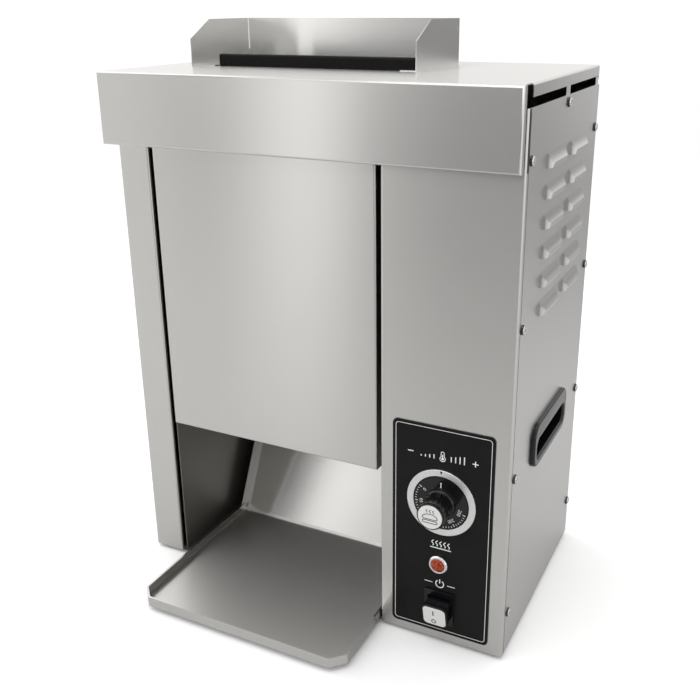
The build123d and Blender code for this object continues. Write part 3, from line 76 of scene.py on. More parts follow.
# %% [markdown]
# ## The camera
#
# A camera could be turned by three angles, but they say little to a reader. Here it is a place, a
# point that it looks at, a roll about that line and a focal length. Three vectors follow from
# them: right, up and backward. They are the columns of its matrix, because a camera looks down its
# own -Z with +Y up.

# %% Camera
CAMERA_PLACE = Vector((0.4028, -0.7578, 0.5928))
CAMERA_TARGET = Vector((0.0714, -0.0860, 0.3315))
CAMERA_ROLL = radians(-0.4)
FOCAL_LENGTH = 45.6
LENS_SHIFT = (-0.0265, -0.0537)


def camera_matrix(place, target, roll):
    """Backward is away from the target; right is level, then both turn about the view line."""
    backward = (place - target).normalized()
    level = Vector((0, 0, 1)).cross(backward).normalized()
    upward = backward.cross(level)
    right = level * cos(roll) + upward * sin(roll)
    up = backward.cross(right)
    axes = Matrix((right, up, backward)).transposed().to_4x4()
    return Matrix.Translation(place) @ axes


camera = bpy.data.objects.new("camera", bpy.data.cameras.new("camera"))
bpy.context.scene.collection.objects.link(camera)
camera.matrix_world = camera_matrix(CAMERA_PLACE, CAMERA_TARGET, CAMERA_ROLL)
camera.data.lens = FOCAL_LENGTH
camera.data.shift_x, camera.data.shift_y = LENS_SHIFT
bpy.context.scene.camera = camera
print("camera", round((CAMERA_PLACE - CAMERA_TARGET).length, 3), "m from the front")

# %% [markdown]
# ## A small language for shader nodes
#
# Nodes can be drawn by hand, but a script that repeats the same three calls for each is hard to
# read. So the materials below use one small class. `Nodes.add` makes a node and sets its inputs: a
# socket given as an input becomes a link, and anything else becomes the input's own value. The
# other methods are the nodes that nearly every material needs, and `new_group` starts an effect
# that several materials share.

# %% Node helpers


class Nodes:
    """Builds the nodes of one tree."""

    def __init__(self, tree):
        self.tree = tree

    def add(self, kind, inputs=None, **settings):
        """A node of a kind, with its properties and its inputs by name or number."""
        node = self.tree.nodes.new(kind)
        for name, value in settings.items():
            setattr(node, name, value)
        for key, value in (inputs or {}).items():
            if isinstance(value, bpy.types.NodeSocket):
                self.tree.links.new(value, node.inputs[key])
            else:
                node.inputs[key].default_value = value
        return node

    def math(self, operation, a, b=0.0):
        """One calculation on two numbers."""
        return self.add("ShaderNodeMath", {0: a, 1: b}, operation=operation).outputs[0]

    def vector(self, operation, a, b=(0, 0, 0)):
        """One calculation on two vectors."""
        return self.add("ShaderNodeVectorMath", {0: a, 1: b}, operation=operation).outputs[0]

    def measure(self, operation, a, b=(0, 0, 0)):
        """One number from vectors, such as their dot product or a length."""
        return self.add("ShaderNodeVectorMath", {0: a, 1: b}, operation=operation).outputs["Value"]

    def scaled(self, vector, factor):
        """A vector times a number."""
        inputs = {0: vector, "Scale": factor}
        return self.add("ShaderNodeVectorMath", inputs, operation="SCALE").outputs[0]

    def mix(self, share, a, b):
        """Colour a where share is 0 and colour b where it is 1."""
        node = self.add("ShaderNodeMix", {0: share, 6: a, 7: b}, data_type="RGBA")
        return node.outputs[2]

    def blend(self, share, a, b):
        """Number a where share is 0 and number b where it is 1."""
        return self.add("ShaderNodeMix", {0: share, 2: a, 3: b}, data_type="FLOAT").outputs[0]

    def remap(self, value, low, high, start=0.0, end=1.0):
        """Carries value from the range low to high into the range start to end."""
        ranges = {0: value, 1: low, 2: high, 3: start, 4: end}
        return self.add("ShaderNodeMapRange", ranges).outputs[0]

    def noise(self, place, scale, detail, roughness):
        """Soft noise from 0 to 1 at a place."""
        inputs = {"Vector": place, "Scale": scale, "Detail": detail, "Roughness": roughness}
        return self.add("ShaderNodeTexNoise", inputs).outputs[0]


def new_group(name, inputs, outputs):
    """An empty shader node group with named sockets: {name: (socket kind, default)}."""
    tree = bpy.data.node_groups.new(name, "ShaderNodeTree")
    for socket, (kind, default) in inputs.items():
        made = tree.interface.new_socket(socket, in_out="INPUT", socket_type=kind)
        made.default_value = default
    for socket, kind in outputs.items():
        tree.interface.new_socket(socket, in_out="OUTPUT", socket_type=kind)
    build = Nodes(tree)
    return build, build.add("NodeGroupInput").outputs, build.add("NodeGroupOutput").inputs


print("node helpers:", [name for name in vars(Nodes) if not name.startswith("_")])

# %% [markdown]
# ## Stage, world and lamps
#
# Polished sheet is mostly what it reflects, so the studio round it is half of the look. A real one
# has soft boxes, white walls and dark gaps between them, and each shows in brushed steel as a long
# soft band. One even tone all round would leave the steel flat, and many cards and lamps would be
# slow to place. So the studio is three short lists of tones by bearing: at the horizon, for the
# wall above it and for the dark screens higher up. They blend into one another with height, and
# last into one tone overhead. The camera sees plain white in their place.

# %% World
HORIZON = (  # bearing in degrees, 0 towards the user and positive to the user's right; tone
    (-180, 0.90), (-172, 1.02), (-140, 1.08), (-118, 0.85), (-95, 0.70), (-70, 0.78), (-52, 0.90),
    (-42, 0.98), (-36.3, 0.60), (-30.2, 1.50), (-25, 0.32), (-20, 0.10), (-14, 0.08), (-2, 0.20),
    (14, 0.60), (30, 0.95), (55, 1.45), (90, 1.45), (112, 1.05), (136, 0.92), (154, 0.24), (162, 0.26),
    (168, 0.58), (175, 0.80), (180, 0.90),
)
WALL = (  # the same for the wall just above the horizon
    (-180, 1.08), (-70, 1.05), (-42, 1.00), (-36, 1.10), (-30, 1.60), (-26, 1.10), (-22, 0.72), (-8, 0.50),
    (16, 0.80), (55, 1.50), (95, 1.50), (140, 0.70), (152, 0.40), (160, 0.45), (168, 0.95), (180, 1.08),
)
SCREENS = (  # and higher up, where two dark screens stand
    (-180, 1.08), (-70, 1.05), (-50, 0.60), (-44, 0.12), (-27.9, 0.02), (-26.9, 1.50), (-22, 0.85),
    (-8, 0.75), (16, 0.80), (25, 0.25), (36, 0.25), (48, 1.00), (140, 1.05), (160, 1.30), (180, 1.08),
)
OVERHEAD = 0.95
BLENDS = (  # heights between which the tones so far blend into the next; height is a direction's z
    (-0.02, 0.05, WALL), (0.15, 0.22, SCREENS), (0.45, 0.80, None),
)
BRIGHTEST = 1.6  # a ramp holds tones up to 1, so they are stored as a share of this


def tone_round(build, direction, tones):
    """Tone of the studio at the bearing of a direction: angle round +Z, looked up on a ramp."""
    parts = build.add("ShaderNodeSeparateXYZ", {0: direction}).outputs
    bearing = build.math("ARCTAN2", parts[0], build.math("MULTIPLY", parts[1], -1.0))
    ramp = build.add("ShaderNodeValToRGB", {0: build.remap(bearing, -pi, pi)})
    ramp.color_ramp.interpolation = "EASE"
    stops = ramp.color_ramp.elements
    while len(stops) < len(tones):
        stops.new(0.5)
    for stop, (angle, tone) in zip(stops, tones):
        stop.position = (angle + 180) / 360
        stop.color = (tone / BRIGHTEST,) * 3 + (1,)
    return build.math("MULTIPLY", ramp.outputs[0], BRIGHTEST)


world = bpy.data.worlds.new("studio")
world.use_nodes = True
world.node_tree.nodes.clear()
build = Nodes(world.node_tree)
direction = build.add("ShaderNodeTexCoord").outputs["Generated"]
height = build.add("ShaderNodeSeparateXYZ", {0: direction}).outputs[2]
tone = tone_round(build, direction, HORIZON)
for low, high, tones in BLENDS:
    above = tone_round(build, direction, tones) if tones else OVERHEAD
    tone = build.blend(build.remap(height, low, high), tone, above)
seen = build.add("ShaderNodeLightPath").outputs["Is Camera Ray"]
background = build.add("ShaderNodeBackground", {"Color": build.math("MAXIMUM", tone, seen)})
build.add("ShaderNodeOutputWorld", {"Surface": background.outputs[0]})
bpy.context.scene.world = world
bpy.context.scene.view_settings.view_transform = "Standard"
print("world with", len(HORIZON) + len(WALL) + len(SCREENS), "tones round it")

# %% Floor and lamps
FLOOR_HALF = 3.0
FLOOR_TONE, BEHIND_TONE = 0.62, 0.42  # albedo to everything but the camera, near and far behind
BAND_TONE = 0.74  # the same in front, as a share of the bands
BANDS_START, BANDS_FULL = 0.15, 2.4  # metres ahead of the origin over which the bands come in
BEHIND_FULL, BEHIND_START = -1.6, -0.3  # and over which the floor dims behind, as metres ahead
FAN_CENTRE = (0.40, 0.60, 0.0)  # the bands of light on the floor in front fan out from here
FLOOR_LIFT = 0.05  # added where the camera looks straight at it, so that bare floor is white
LAMPS = {  # place, point aimed at, width, power in watts
    "key": ((-0.75, -1.78, 1.9), (0.0, 0.0, 0.3), 1.6, 9.0),
    "left": ((-1.9, 0.1, 1.45), (0.0, 0.0, 0.1), 2.2, 14.0),
    "top": ((0.1, -0.1, 2.2), (0.0, 0.0, 0.5), 1.4, 10.0),
}


def make_floor():
    """A large square under the feet: white to the camera, and banded as the studio to the steel."""
    corners = [(-FLOOR_HALF, -FLOOR_HALF, 0), (FLOOR_HALF, -FLOOR_HALF, 0)]
    corners += [(FLOOR_HALF, FLOOR_HALF, 0), (-FLOOR_HALF, FLOOR_HALF, 0)]
    mesh = bpy.data.meshes.new("floor")
    mesh.from_pydata(corners, [], [(0, 1, 2, 3)])
    floor = bpy.data.objects.new("floor", mesh)
    bpy.context.scene.collection.objects.link(floor)
    paint = bpy.data.materials.new("floor_paint")
    paint.use_nodes = True
    paint.node_tree.nodes.clear()
    build = Nodes(paint.node_tree)
    place = build.add("ShaderNodeTexCoord").outputs["Object"]
    ahead = build.math("MULTIPLY", build.add("ShaderNodeSeparateXYZ", {0: place}).outputs[1], -1.0)
    bands = tone_round(build, build.vector("SUBTRACT", place, FAN_CENTRE), HORIZON)
    bands = build.math("MULTIPLY", bands, BAND_TONE)
    studio = build.blend(build.remap(ahead, BANDS_START, BANDS_FULL), FLOOR_TONE, bands)
    studio = build.blend(build.remap(ahead, BEHIND_FULL, BEHIND_START), BEHIND_TONE, studio)
    seen = build.add("ShaderNodeLightPath").outputs["Is Camera Ray"]
    matte = build.add("ShaderNodeBsdfDiffuse", {"Color": build.math("MAXIMUM", studio, seen)}).outputs[0]
    lift = build.add("ShaderNodeEmission", {"Strength": build.math("MULTIPLY", seen, FLOOR_LIFT)})
    both = build.add("ShaderNodeAddShader", {0: matte, 1: lift.outputs[0]})
    build.add("ShaderNodeOutputMaterial", {"Surface": both.outputs[0]})
    mesh.materials.append(paint)
    return floor


def make_lamp(name, place, target, width, power):
    """A square soft box aimed at a point."""
    lamp = bpy.data.objects.new(name, bpy.data.lights.new(name, "AREA"))
    lamp.data.size = width
    lamp.data.energy = power
    lamp.matrix_world = camera_matrix(Vector(place), Vector(target), 0.0)
    bpy.context.scene.collection.objects.link(lamp)
    return lamp


make_floor()
for name, setting in LAMPS.items():
    make_lamp(name, *setting)
print("floor and", len(LAMPS), "soft lamps")

# %% [markdown]
# ## Brushed steel
#
# The sheet is brushed along one direction, and the fine scratches do three things. They streak the
# tone very slightly, they vary the roughness, and they smear a reflection across themselves, which
# is called anisotropy. Scratches cut one by one would be far too many. So the first two come from
# one noise that is stretched about 85 times along the grain, and the third from the shader's
# tangent: the cross product of the surface normal and the grain, where the grain turns with the
# sheet at a fold.

# %% Shared effects
FLOAT, VECTOR = "NodeSocketFloat", "NodeSocketVector"


def grain_group():
    """Brush marks: noise at a place squeezed by a scale that is small along the grain."""
    inputs = {"Place": (VECTOR, (0, 0, 0)), "Stretch": (VECTOR, (1, 1, 1))}
    build, given, result = new_group("brush_marks", inputs, {"Streak": FLOAT, "Cloud": FLOAT})
    squeezed = build.vector("MULTIPLY", given["Place"], given["Stretch"])
    fine = build.noise(squeezed, 1.0, 4.0, 0.65)
    build.tree.links.new(build.remap(fine, 0.25, 0.75), result["Streak"])
    cloud = build.noise(given["Place"], 9.0, 3.0, 0.55)
    build.tree.links.new(build.remap(cloud, 0.3, 0.7), result["Cloud"])
    return build.tree


def pores_group():
    """Fine pebbled skin of a moulded or coated surface, as a height from 0 to 1."""
    inputs = {"Place": (VECTOR, (0, 0, 0)), "Size": (FLOAT, 1400.0)}
    build, given, result = new_group("pebbled_skin", inputs, {"Height": FLOAT, "Wear": FLOAT})
    fine = build.noise(given["Place"], given["Size"], 2.0, 0.5)
    build.tree.links.new(fine, result["Height"])
    wear = build.noise(given["Place"], 60.0, 4.0, 0.6)
    build.tree.links.new(build.remap(wear, 0.35, 0.75), result["Wear"])
    return build.tree


BRUSH_MARKS = grain_group()
PEBBLED_SKIN = pores_group()


def new_material(name):
    """An empty material with its node builder and its object coordinates."""
    material = bpy.data.materials.new(name)
    material.use_nodes = True
    material.node_tree.nodes.clear()
    build = Nodes(material.node_tree)
    return material, build, build.add("ShaderNodeTexCoord").outputs["Object"]


def finish_material(build, inputs):
    """Connects one Principled shader to the output."""
    shader = build.add("ShaderNodeBsdfPrincipled", inputs)
    build.add("ShaderNodeOutputMaterial", {"Surface": shader.outputs[0]})


print("shared effects:", BRUSH_MARKS.name, PEBBLED_SKIN.name)

# %% Brushed sheet
ALONG_X, ALONG_Y, ALONG_Z = (1, 0, 0), (0, 1, 0), (0, 0, 1)
GRAIN_LENGTH, GRAIN_WIDTH = 0.030, 0.00035
STREAK_SHARE = 0.75  # of the tone's drift; soft clouds give the rest
SCRATCH_DEPTH = 0.00003
WORN_FULL_Y, WORN_START_Y = -0.100, -0.094  # a sheet wears ahead of the chamber, fading in between
WORN_FADE = 0.003


def brushed_steel(name, grain, tone, roughness, smear, marks=0.03, worn=None, worn_to=0.0):
    """Stainless sheet brushed along an axis, whose reflections smear across that axis. On a face that
    looks along the grain the sheet was folded, and the grain with it. In front of the chamber and
    up to a height the brushing may be worn to another roughness."""
    material, build, place = new_material(name)
    along = np.abs(np.array(grain, float)) > 0.5
    stretch = tuple(np.where(along, 1 / GRAIN_LENGTH, 1 / GRAIN_WIDTH))
    effect = build.add("ShaderNodeGroup", {}, node_tree=BRUSH_MARKS)
    build.tree.links.new(place, effect.inputs["Place"])
    effect.inputs["Stretch"].default_value = stretch
    streak, cloud = effect.outputs["Streak"], effect.outputs["Cloud"]
    dark = tuple(c * (1 - marks) for c in tone) + (1,)
    light = tuple(min(1, c * (1 + marks)) for c in tone) + (1,)
    streaked = build.math("MULTIPLY", streak, STREAK_SHARE)
    tint = build.math("ADD", streaked, build.math("MULTIPLY", cloud, 1 - STREAK_SHARE))
    color = build.mix(tint, dark, light)
    rough = build.remap(streak, 0.0, 1.0, roughness * (1 - 2 * marks), roughness * (1 + 2 * marks))
    if worn:
        parts = build.add("ShaderNodeSeparateXYZ", {0: place}).outputs
        front = build.remap(parts[1], WORN_FULL_Y, WORN_START_Y, 1.0, 0.0)
        low = build.remap(parts[2], worn_to, worn_to + WORN_FADE, 1.0, 0.0)
        rough = build.blend(build.math("MAXIMUM", front, low), rough, worn)
    normal = build.add("ShaderNodeNewGeometry").outputs["Normal"]
    facing = build.measure("DOT_PRODUCT", normal, grain)
    folded = tuple(2.0 * side for side in (ALONG_X if grain == ALONG_Y else ALONG_Y))
    turned = build.scaled(folded, build.math("MULTIPLY", facing, facing))
    across = build.vector("CROSS_PRODUCT", normal, build.vector("ADD", turned, grain))
    across = build.vector("NORMALIZE", across)
    relief = {"Strength": 1.5 * marks, "Distance": SCRATCH_DEPTH, "Height": streak}
    bump = build.add("ShaderNodeBump", relief)
    finish_material(build, {
        "Base Color": color, "Metallic": 1.0, "Roughness": rough, "Anisotropic": smear,
        "Tangent": across, "Normal": bump.outputs[0],
    })
    return material


STEEL = (0.64, 0.63, 0.61)
MATERIALS = {
    "body_steel": brushed_steel("body_steel", ALONG_X, STEEL, 0.25, 0.95),
    "side_steel": brushed_steel("side_steel", ALONG_Y, STEEL, 0.28, 0.90, 0.012),
    "lid_steel": brushed_steel("lid_steel", ALONG_X, STEEL, 0.23, 0.95, 0.02),
    "door_steel": brushed_steel("door_steel", ALONG_X, STEEL, 0.24, 0.95),
    "tray_steel": brushed_steel("tray_steel", ALONG_X, STEEL, 0.15, 0.93, worn=0.34, worn_to=0.0075),
    # the guard's sheet has a lighter tone than the rest: painted light, for the brighter light on its
    # plates
    "guard_steel": brushed_steel("guard_steel", ALONG_X, (0.74, 0.73, 0.71), 0.20, 0.92),
    # the chamber's sheet is dark: a duller steel, darkened further as painted shade of the chamber's inside
    "inner_steel": brushed_steel("inner_steel", ALONG_Z, (0.29, 0.28, 0.26), 0.50, 0.2),
}
print(sorted(MATERIALS))

# %% [markdown]
# ## The other finishes
#
# Black mouldings are not one black: their fine pebbled skin catches light, and worn patches are a
# little smoother. Coatings, rubber, castings and glazed parts are the same idea with other
# numbers, so one function makes them all in place of a material written out for each. Turned metal
# gets fine machining lines. They are circles round an axis of the frame rather than of each part,
# so that one finish serves many parts, and on a small part away from that axis they run nearly
# straight.

# %% Moulded, coated and turned finishes


def pebbled(name, tone, roughness, size=1400.0, height=0.00003, metallic=0.0, variation=0.25,
            coat=0.0, shine=0.5):
    """A skin of fine pebbles whose tone and roughness drift a little, with an optional clear coat."""
    material, build, place = new_material(name)
    effect = build.add("ShaderNodeGroup", {"Size": size}, node_tree=PEBBLED_SKIN)
    build.tree.links.new(place, effect.inputs["Place"])
    wear = effect.outputs["Wear"]
    light = tuple(min(1.0, c * (1 + variation) + 0.004 * variation) for c in tone) + (1,)
    color = build.mix(wear, tuple(tone) + (1,), light)
    rough = build.remap(wear, 0.0, 1.0, roughness, roughness * 0.82)
    relief = {"Strength": 0.5, "Distance": height, "Height": effect.outputs["Height"]}
    bump = build.add("ShaderNodeBump", relief)
    finish_material(build, {
        "Base Color": color, "Roughness": rough, "Metallic": metallic, "Normal": bump.outputs[0],
        "Coat Weight": coat, "Coat Roughness": 0.08, "Specular IOR Level": shine,
    })
    return material


RING_PITCH = 0.0004
# near black painted into screw recesses and rims as the shade that falls there
RECESS_SHADE = (0.05, 0.05, 0.05, 1)


def turned_metal(name, tone, roughness, axis, shade_attribute=None):
    """Metal with fine rings: the distance from an axis through the origin, repeated at a pitch. Painted
    shade may darken it by an attribute of the points, which is 1 where the shade is darkest."""
    material, build, place = new_material(name)
    keep = tuple(0.0 if a else 1.0 for a in axis)
    radius = build.measure("LENGTH", build.vector("MULTIPLY", place, keep))
    ring = build.math("SINE", build.math("MULTIPLY", radius, 2 * pi / RING_PITCH))
    patch = build.noise(place, 120.0, 4.0, 0.6)
    rough = build.remap(patch, 0.3, 0.7, roughness * 0.8, roughness * 1.2)
    dark = tuple(c * 0.93 for c in tone) + (1,)
    color = build.mix(build.remap(ring, -1.0, 1.0), dark, tuple(tone) + (1,))
    # points with the attribute take painted shade: near black in a recess and at a rim
    if shade_attribute:
        depth = build.add("ShaderNodeAttribute", attribute_name=shade_attribute).outputs["Fac"]
        color = build.mix(build.remap(depth, 0.05, 0.7), color, RECESS_SHADE)
    bump = build.add("ShaderNodeBump", {"Strength": 0.25, "Distance": 0.00002, "Height": ring})
    finish_material(build, {
        "Base Color": color, "Metallic": 1.0, "Roughness": rough, "Normal": bump.outputs[0],
    })
    return material


def lamp_glow(name):
    """Lens of an indicator lamp: small cells, bright orange at the heart and dark red at the rim."""
    material, build, place = new_material(name)
    cells = build.add("ShaderNodeTexVoronoi", {"Vector": place, "Scale": 520.0})
    depth = build.remap(cells.outputs["Distance"], 0.0, 0.7)
    color = build.mix(depth, (0.58, 0.10, 0.012, 1), (0.17, 0.010, 0.002, 1))
    bump = build.add("ShaderNodeBump", {"Strength": 0.4, "Distance": 0.0002, "Height": depth})
    finish_material(build, {
        "Base Color": color, "Roughness": 0.15, "Normal": bump.outputs[0], "Coat Weight": 0.2,
        "Coat Roughness": 0.03, "Specular IOR Level": 0.3, "Emission Color": (1.0, 0.08, 0.0, 1),
        "Emission Strength": 0.04,
    })
    return material


MATERIALS |= {
    "coated_steel": pebbled("coated_steel", (0.004, 0.004, 0.004), 0.28, 900.0, 0.00001, shine=0.12),
    "black_plastic": pebbled("black_plastic", (0.005, 0.005, 0.005), 0.14, 1400.0, 0.00001, shine=0.4),
    "black_gloss": pebbled("black_gloss", (0.005, 0.005, 0.006), 0.12, 500.0, 0.00001, shine=0.4),
    "control_print": pebbled("control_print", (0.006, 0.006, 0.006), 0.34, 2200.0, 0.00001, shine=0.16),
    "white_plastic": pebbled("white_plastic", (0.80, 0.80, 0.78), 0.28, 900.0, 0.00001, variation=0.04),
    "white_ink": pebbled("white_ink", (0.88, 0.88, 0.86), 0.45, 2600.0, variation=0.05),
    "black_ink": pebbled("black_ink", (0.008, 0.008, 0.008), 0.45, 2600.0),
    "foot_rubber": pebbled("foot_rubber", (0.018, 0.018, 0.018), 0.75, 700.0, 0.0001),
    "grey_plastic": pebbled("grey_plastic", (0.26, 0.27, 0.28), 0.5),
    "ceramic": pebbled("ceramic", (0.80, 0.78, 0.72), 0.22, 400.0, variation=0.06, coat=0.5),
    "motor_paint": pebbled("motor_paint", (0.05, 0.055, 0.06), 0.4, 500.0, 0.00008),
    "gear_metal": pebbled("gear_metal", (0.30, 0.29, 0.27), 0.38, 900.0, 0.00004, 1.0, 0.15),
    "platen_metal": pebbled("platen_metal", (0.22, 0.22, 0.23), 0.42, 500.0, 0.0001, 0.8, 0.2),
    "heater_sheath": pebbled("heater_sheath", (0.26, 0.24, 0.23), 0.4, 600.0, 0.00003, 1.0, 0.3),
    "release_cloth": pebbled("release_cloth", (0.20, 0.12, 0.06), 0.38, 1200.0, 0.00006, coat=0.2),
    # the screws take painted shade in their recesses and at their rims, from the attribute recess
    "screw_steel": turned_metal("screw_steel", (0.68, 0.68, 0.68), 0.10, ALONG_X, shade_attribute="recess"),
    "roller_steel": turned_metal("roller_steel", (0.62, 0.62, 0.63), 0.28, ALONG_X),
    "bush_bronze": turned_metal("bush_bronze", (0.62, 0.42, 0.20), 0.30, ALONG_X),
    "bezel_metal": turned_metal("bezel_metal", (0.86, 0.86, 0.85), 0.30, ALONG_Y),
    "lamp_chrome": turned_metal("lamp_chrome", (0.80, 0.80, 0.81), 0.12, ALONG_Y),
    "lamp_amber": lamp_glow("lamp_amber"),
}
print(len(MATERIALS), "finishes")

# %% [markdown]
# ## Wire belt
#
# The belts are woven wire. Seen through the slot, each is a row of flat spirals laced on cross
# rods. Thousands of modelled wires would weigh more than the rest of the object, and little of them
# would be seen. So the pattern is two waves in the finish: ridges across the belt, and between them
# short slanted wires that change direction from one ridge to the next.

# %% Belt finish
BELT_PITCH, SPIRAL_PITCH = 0.006, 0.0035
WIRE_SLANT, ROD_SHARPNESS = 0.45, 1.6


def wire_belt(name):
    """Cross rods as sine ridges along the run, and slanted wires that zigzag between them."""
    material, build, place = new_material(name)
    parts = build.add("ShaderNodeSeparateXYZ", {0: place}).outputs
    run = build.math("ADD", parts[1], parts[2])
    zigzag = build.math("PINGPONG", run, BELT_PITCH / 2)
    slanted = build.math("ADD", parts[0], build.math("MULTIPLY", zigzag, WIRE_SLANT))
    wires = build.math("SINE", build.math("MULTIPLY", slanted, pi / SPIRAL_PITCH))
    gaps = build.math("ABSOLUTE", build.math("SINE", build.math("MULTIPLY", run, pi / BELT_PITCH)))
    rods = build.math("SUBTRACT", 1.0, build.math("MULTIPLY", gaps, ROD_SHARPNESS))
    height = build.math("MAXIMUM", build.math("ABSOLUTE", wires), rods)
    solid = build.remap(height, 0.15, 0.55)
    # near black where there is no wire: painted shade of the gaps in the weave
    color = build.mix(solid, (0.03, 0.03, 0.03, 1), (0.50, 0.49, 0.46, 1))
    bump = build.add("ShaderNodeBump", {"Strength": 0.9, "Distance": 0.0008, "Height": height})
    finish_material(build, {
        "Base Color": color, "Metallic": solid, "Roughness": build.remap(solid, 0.0, 1.0, 0.8, 0.32),
        "Normal": bump.outputs[0],
    })
    return material


MATERIALS["belt_steel"] = wire_belt("belt_steel")
print("belt pitch", BELT_PITCH, "m")

# %% [markdown]
# ## Dressing a piece
#
# A solid from the frame has perfectly sharp edges, and no real sheet or moulding does: each edge
# carries a thin line of light. The shader could fake that line, but a mesh that is exported would
# lose it. So a visible piece is copied, its loose triangles are joined, flat neighbours are merged,
# and a narrow bevel goes round what is left. The copy stands for the solid and rides on the same
# body. Pieces deep inside keep their solids and only get a finish.

# %% Copies with softened edges
SMOOTH_BELOW = radians(47)
BEVEL_SEGMENTS = 2


def link_piece(name, mesh, body, material):
    """A new piece of the object: its mesh, its finish and the body that it rides on."""
    piece = bpy.data.objects.new(name, mesh)
    bpy.context.scene.collection.objects.link(piece)
    mesh.materials.clear()
    mesh.materials.append(material)
    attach(piece, body)
    return piece


def joined_copy(node):
    """The node's mesh with its triangles joined and its flat faces merged."""
    work = bmesh.new()
    work.from_mesh(NODES[node].data)
    bmesh.ops.remove_doubles(work, verts=work.verts, dist=2e-6)
    flat = [e for e in work.edges if e.is_manifold and e.calc_face_angle(pi) < radians(0.05)]
    bmesh.ops.dissolve_edges(work, edges=flat, use_verts=False, use_face_split=False)
    for face in work.faces:
        face.smooth = True
    for edge in work.edges:
        edge.smooth = edge.is_manifold and edge.calc_face_angle(pi) < SMOOTH_BELOW
    mesh = bpy.data.meshes.new(f"{node}_dressed")
    work.to_mesh(mesh)
    work.free()
    return mesh


def dress(node, finish, bevel):
    """Replace a node by its copy with a bevel, in millimetres, on every sharp edge."""
    mesh, material = joined_copy(node), MATERIALS[finish]
    piece = link_piece(f"{node}_dressed", mesh, BODY_OF[node], material)
    round_off = piece.modifiers.new("edges", "BEVEL")
    round_off.width = bevel * MM
    round_off.segments = BEVEL_SEGMENTS
    round_off.limit_method = "ANGLE"
    round_off.angle_limit = SMOOTH_BELOW
    weigh = piece.modifiers.new("normals", "WEIGHTED_NORMAL")
    weigh.mode = "FACE_AREA_WITH_ANGLE"
    weigh.keep_sharp = True
    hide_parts(node)
    return piece


for node, o in NODES.items():
    o.data.materials.clear()
    o.data.materials.append(MATERIALS[SLOT_OF[node]])
print("finishes on", len(NODES), "solids")

# %% The visible pieces
DRESSED = {  # finish and bevel in millimetres
    "top_cover": ("lid_steel", 0.35),
    "feed_guard": ("guard_steel", 0.2),
    "feed_lip": ("coated_steel", 0.3),
    "left_post": ("body_steel", 0.35),
    "front_column": ("body_steel", 0.35),
    "left_side_panel": ("side_steel", 0.3),
    "right_side_panel": ("side_steel", 0.3),
    "rear_panel": ("body_steel", 0.35),
    "front_door": ("door_steel", 0.3),
    "landing_tray": ("tray_steel", 0.35),
    "chamber_liner": ("inner_steel", 0.2),
    "control_plate": ("control_print", 0.15),
    "knob_bezel": ("bezel_metal", 0.3),
    "control_knob": ("black_plastic", 0.2),
    "knob_cap": ("white_plastic", 0.15),
    "lamp_bezel": ("lamp_chrome", 0.2),
    "lamp_lens": ("lamp_amber", 0.1),
    "switch_housing": ("black_gloss", 0.25),
    "switch_rocker": ("black_gloss", 0.35),
    "rocker_face": ("white_plastic", 0.3),
    "handle_right": ("black_plastic", 0.35),
    "handle_left": ("black_plastic", 0.35),
    "rubber_feet": ("foot_rubber", 0.4),
    "cable_gland": ("black_plastic", 0.3),
}
for node, (finish, bevel) in DRESSED.items():
    dress(node, finish, bevel)
print(len(DRESSED), "pieces dressed")

# %% [markdown]
# ## Panel screws
#
# Pan-head screws hold the side panels. A recess could be cut with a boolean, which leaves long thin
# faces on so small a dome. So the head is one surface over a disc: its height falls from the middle
# to the rim as a flattened dome, less the cross recess, whose four arms are deepest in the middle
# and rise to nothing at their tips. The places and directions come from the frame.

# %% The surface of a head
SCREW_RINGS, SCREW_SPOKES = 18, 64
HEAD_RISE, SHANK_RADIUS = 2.7, 2.0  # millimetres, as are the four sizes of the recess
RECESS_ARM, RECESS_WIDTH, RECESS_DEPTH, RECESS_EDGE = 3.0, 1.4, 1.7, 0.22
SHADED_RIM_FROM, SHADED_RIM_OVER = 0.86, 0.1  # painted shade also darkens the rim, in shares of the radius


def screw_head(radius, rise, turn):
    """Points of a head about +X. With a and b along the arms, height = rise (1 - (r/R)^4)^0.5
    less depth x (1 - |a|/arm) x (share of the arm's half width that is left at |b|). Also how much
    painted shade each point gets: its share of the full depth, and 1 at the rim."""
    ring = np.linspace(0, 1, SCREW_RINGS) ** 0.8 * radius
    angle = np.linspace(0, 2 * pi, SCREW_SPOKES, endpoint=False)
    r, phi = np.meshgrid(ring, angle, indexing="ij")
    a, b = r * np.cos(phi), r * np.sin(phi)
    height = dome = rise * np.sqrt(np.clip(1 - (r / radius) ** 4, 0, 1))
    for along, across in ((a, b), (b, a)):
        reach = np.clip(1 - np.abs(along) / (RECESS_ARM * MM), 0, 1)
        wall = np.clip((RECESS_WIDTH * MM / 2 - np.abs(across)) / (RECESS_EDGE * MM) + 0.5, 0, 1)
        height = np.minimum(height, rise - RECESS_DEPTH * MM * reach * wall)
    y, z = r * np.cos(phi + turn), r * np.sin(phi + turn)
    rim = np.clip((r / radius - SHADED_RIM_FROM) / SHADED_RIM_OVER, 0, 1)
    return np.stack([height, y, z], axis=-1), np.maximum((dome - height) / (RECESS_DEPTH * MM), rim)


def ring_faces(rings, spokes):
    """Quads between neighbouring rings of points, facing along +X."""
    i, j = np.meshgrid(np.arange(rings - 1), np.arange(spokes), indexing="ij")
    here, beside = i * spokes + j, i * spokes + (j + 1) % spokes
    return np.stack([here, here + spokes, beside + spokes, beside], axis=-1).reshape(-1, 4)


print("a head has", SCREW_RINGS * SCREW_SPOKES, "points")

# %% From solids to boxes and from points to a mesh
SCREW_REACH = 14  # millimetres within which every point of one screw lies


